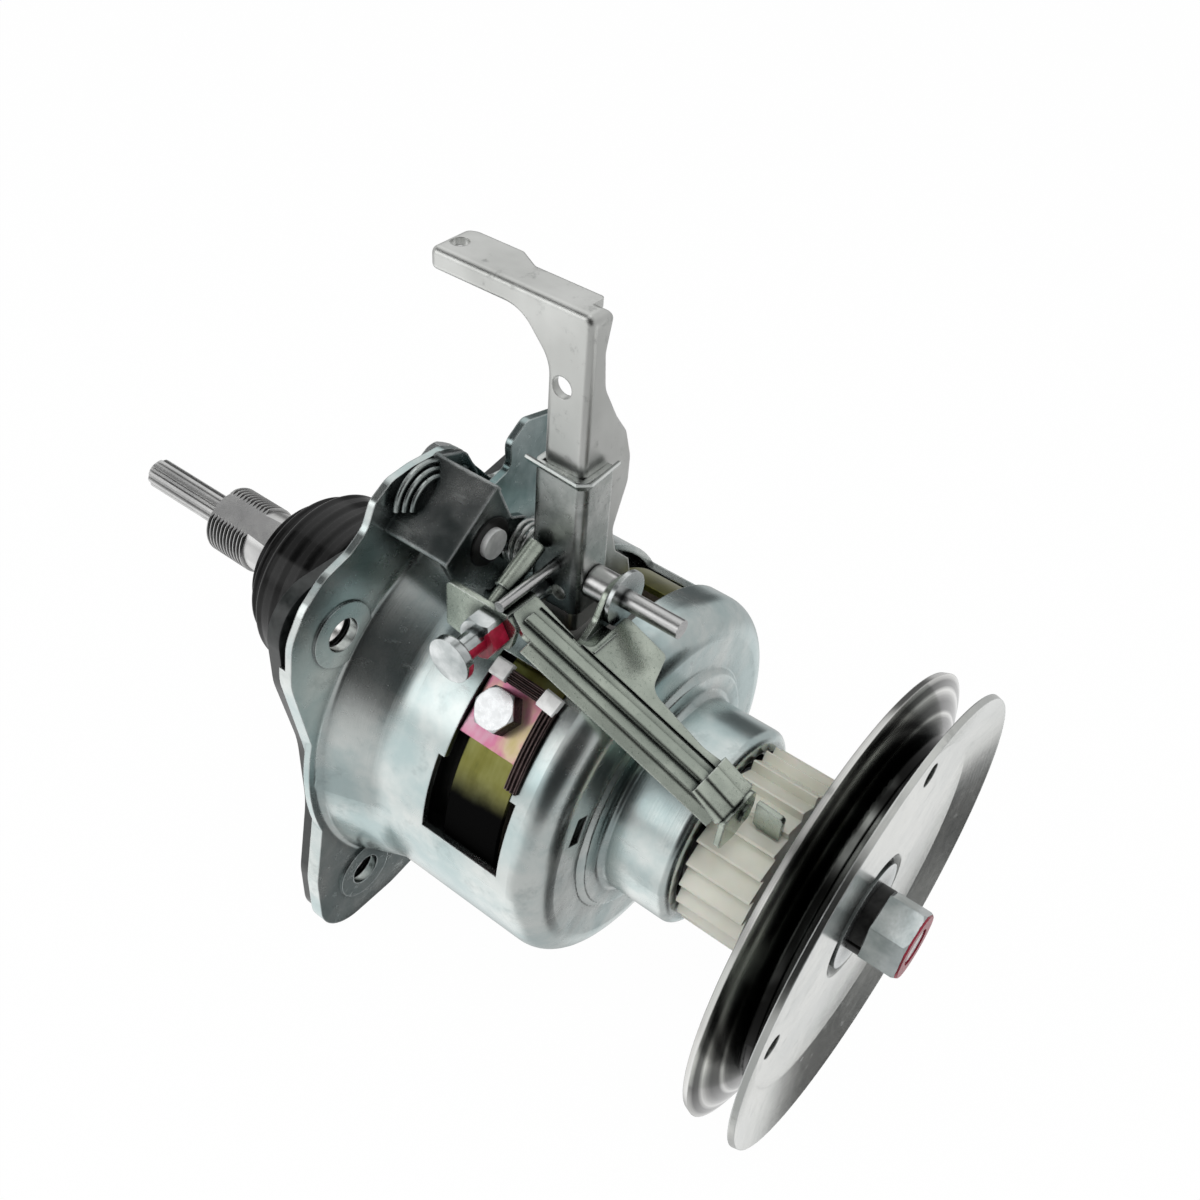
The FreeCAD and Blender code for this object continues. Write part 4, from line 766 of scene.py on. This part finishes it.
def makeAnchorGuide():
    look = anchorGuide
    folds = []
    for start, end in (look["top"], look["side"]):
        path, ups = drumPath(start, end, look["foldSteps"])
        folds.append((path, ups, look["folds"]))
    sweptPiece("anchor_guide", folds, "housing", guideSteel())
    bright = whiteZinc("tabHighlightWhite", 0.05)
    for name, (start, end) in look["tabs"].items():
        path, ups = drumPath(start, end, look["tabSteps"])
        sweptPiece(name, [(path, ups, look["tab"])], "housing", bright)


# The curled back of the lever bracket, between it and the flange.
bracketCurl = {
    "middle": (-9.6, 19.0, 72.6),
    "rings": [(9.0, -0.3), (7.6, -1.5), (6.2, -2.7)],
    "angles": (5.0, 150.0),
    "wire": 0.75,
    "steps": 24,
}


def makeBracketCurl():
    look = bracketCurl
    first, last = look["angles"]
    rings = []
    for radius, shift in look["rings"]:
        path = []
        for index in range(look["steps"] + 1):
            spot = roundX(shift, first + (last - first) * index / look["steps"], radius)
            path.append(Vector(look["middle"]) + spot)
        rings.append((path, [Vector((1, 0, 0))] * len(path), circle(look["wire"])))
    sweptPiece("bracket_curl", rings, "housing", zincFinish("curlZinc"))


makeWrapRim()
makeAnchorGuide()
makeBracketCurl()
print("detail pieces made")

# The photograph's viewpoint, in millimetres and unit directions of the part's own frame.
cameraPlace = {
    "at": (-182.1, 192.4, 258.8),
    "right": (-0.78844, -0.61174, 0.06430),
    "up": (0.44612, -0.49673, 0.74447),
    "lens": 38.63,
    "sensor": 36.0,
    "nearest": 0.01,
}


def makeCamera():
    look = cameraPlace
    right, up = Vector(look["right"]), Vector(look["up"])
    turn = Matrix((right, up, right.cross(up))).transposed().to_4x4()
    data = bpy.data.cameras.new("camera")
    data.lens = look["lens"]
    data.sensor_width = look["sensor"]
    data.clip_start = look["nearest"]
    camera = bpy.data.objects.new("camera", data)
    camera.matrix_world = Matrix.Translation(Vector(look["at"]) * mm) @ turn
    bpy.context.scene.collection.objects.link(camera)
    bpy.context.scene.camera = camera


# Soft boxes light the part, and a painted room is what its plating mirrors. Places and sizes are in
# metres, and powers in watts.
studio = {
    "aim": (-0.04, 0.0, 0.01),
    "roomGlow": 0.5,
    "floorSize": 6.0,
    "floorDrop": 0.0005,
    "floorWhiteness": 0.985,
    "softBoxes": [
        {"name": "overhead", "at": (-0.25, 0.25, 0.95), "size": (0.7, 0.5), "power": 3.6},
        {"name": "leftBox", "at": (0.45, 0.75, 0.45), "size": (0.4, 0.7), "power": 2.4},
        {"name": "rightBox", "at": (-0.95, -0.15, 0.35), "size": (0.35, 0.7), "power": 1.6},
    ],
    "mirroredLevel": 0.56,
    "waver": 0.3,
    "waverScale": 2.3,
    # direction, degrees from it where the patch starts and where it is full, brightness
    "patches": [
        ((-0.13, -0.62, -0.77), 26, 12, 0.90),
        ((-0.60, -0.38, -0.70), 23, 13, 0.07),
        ((-0.86, -0.36, -0.36), 26, 14, 0.80),
        ((-0.80, -0.10, -0.59), 9, 4, 1.6),
        ((0.45, 0.25, -0.85), 32, 16, 1.05),
        ((0.45, 0.84, -0.30), 30, 10, 1.0),
        ((-0.37, -0.58, 0.73), 26, 12, 0.70),
        ((-0.40, 0.70, 0.50), 42, 24, 0.03),
        ((0.43, -0.90, 0.08), 26, 12, 0.12),
        ((0.46, -0.50, 0.73), 34, 14, 0.90),
        ((0.52, 0.74, 0.43), 20, 10, 1.5),
        ((0.55, 0.36, 0.76), 18, 12, 0.04),
        ((0.05, -0.05, 1.00), 16, 8, 1.2),
    ],
}


def makeLights():
    for box in studio["softBoxes"]:
        data = bpy.data.lights.new(box["name"], "AREA")
        data.shape = "RECTANGLE"
        data.size, data.size_y = box["size"]
        data.energy = box["power"]
        lamp = bpy.data.objects.new(box["name"], data)
        lamp.location = box["at"]
        lamp.rotation_euler = (Vector(studio["aim"]) - lamp.location).to_track_quat("-Z", "Y").to_euler()
        lamp.visible_glossy = False
        bpy.context.scene.collection.objects.link(lamp)


# White to the camera, with a soft shadow left in.
def floorMaterial():
    f = Finish("floorWhite")
    f.set(Base_Color=(0.92, 0.92, 0.92), Roughness=0.8)
    glow = f.node("ShaderNodeEmission", {}, {"Color": (1.0, 1.0, 1.0), "Strength": 1.0})
    share = f.rayIs("Camera") * studio["floorWhiteness"]
    mixed = f.node("ShaderNodeMixShader", {}, {0: share, 1: Strand(f, f.shader.outputs[0]), 2: glow})
    f.feed(f.out.inputs[0], mixed)
    return f.material


def makeFloor():
    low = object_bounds()[0]
    mesh = bpy.data.meshes.new("floor")
    shape = bmesh.new()
    bmesh.ops.create_grid(shape, x_segments=1, y_segments=1, size=studio["floorSize"] / 2)
    shape.to_mesh(mesh)
    shape.free()
    mesh.materials.append(floorMaterial())
    plane = bpy.data.objects.new("floor", mesh)
    plane.location = (0, 0, low.z - studio["floorDrop"])
    plane.visible_glossy = False
    bpy.context.scene.collection.objects.link(plane)


def makeRoom():
    world = bpy.data.worlds.new("room")
    bpy.context.scene.world = world
    world.use_nodes = True
    g = Graph(world.node_tree)
    seen, mirrored = g.rayIs("Camera"), g.rayIs("Glossy")
    way = g.node("ShaderNodeTexCoord", {}, {}, "Generated")
    waver = g.node("ShaderNodeTexNoise", {}, {"Vector": way, "Scale": studio["waverScale"]}, "Color")
    shift = g.vectorMaths("SUBTRACT", {0: waver, 1: (0.5, 0.5, 0.5)})
    shift = g.vectorMaths("SCALE", {0: shift, 3: studio["waver"]})
    way = g.vectorMaths("NORMALIZE", {0: g.vectorMaths("ADD", {0: way, 1: shift})})
    level = studio["mirroredLevel"]
    for towards, start, full, brightness in studio["patches"]:
        near = g.vectorMaths("DOT_PRODUCT", {0: way, 1: tuple(Vector(towards).normalized())}, "Value")
        inside = near.step(math.cos(math.radians(start)), math.cos(math.radians(full)))
        level = inside * brightness + (1 - inside) * level
    level = mirrored * level + seen + (1 - seen - mirrored).most(0.0) * studio["roomGlow"]
    glow = g.tree.nodes["Background"]
    g.feed(glow.inputs["Strength"], level)
    g.feed(glow.inputs["Color"], (1.0, 1.0, 1.0))


makeCamera()
makeLights()
makeFloor()
makeRoom()
bpy.context.scene.view_settings.view_transform = "Standard"
print("studio ready")
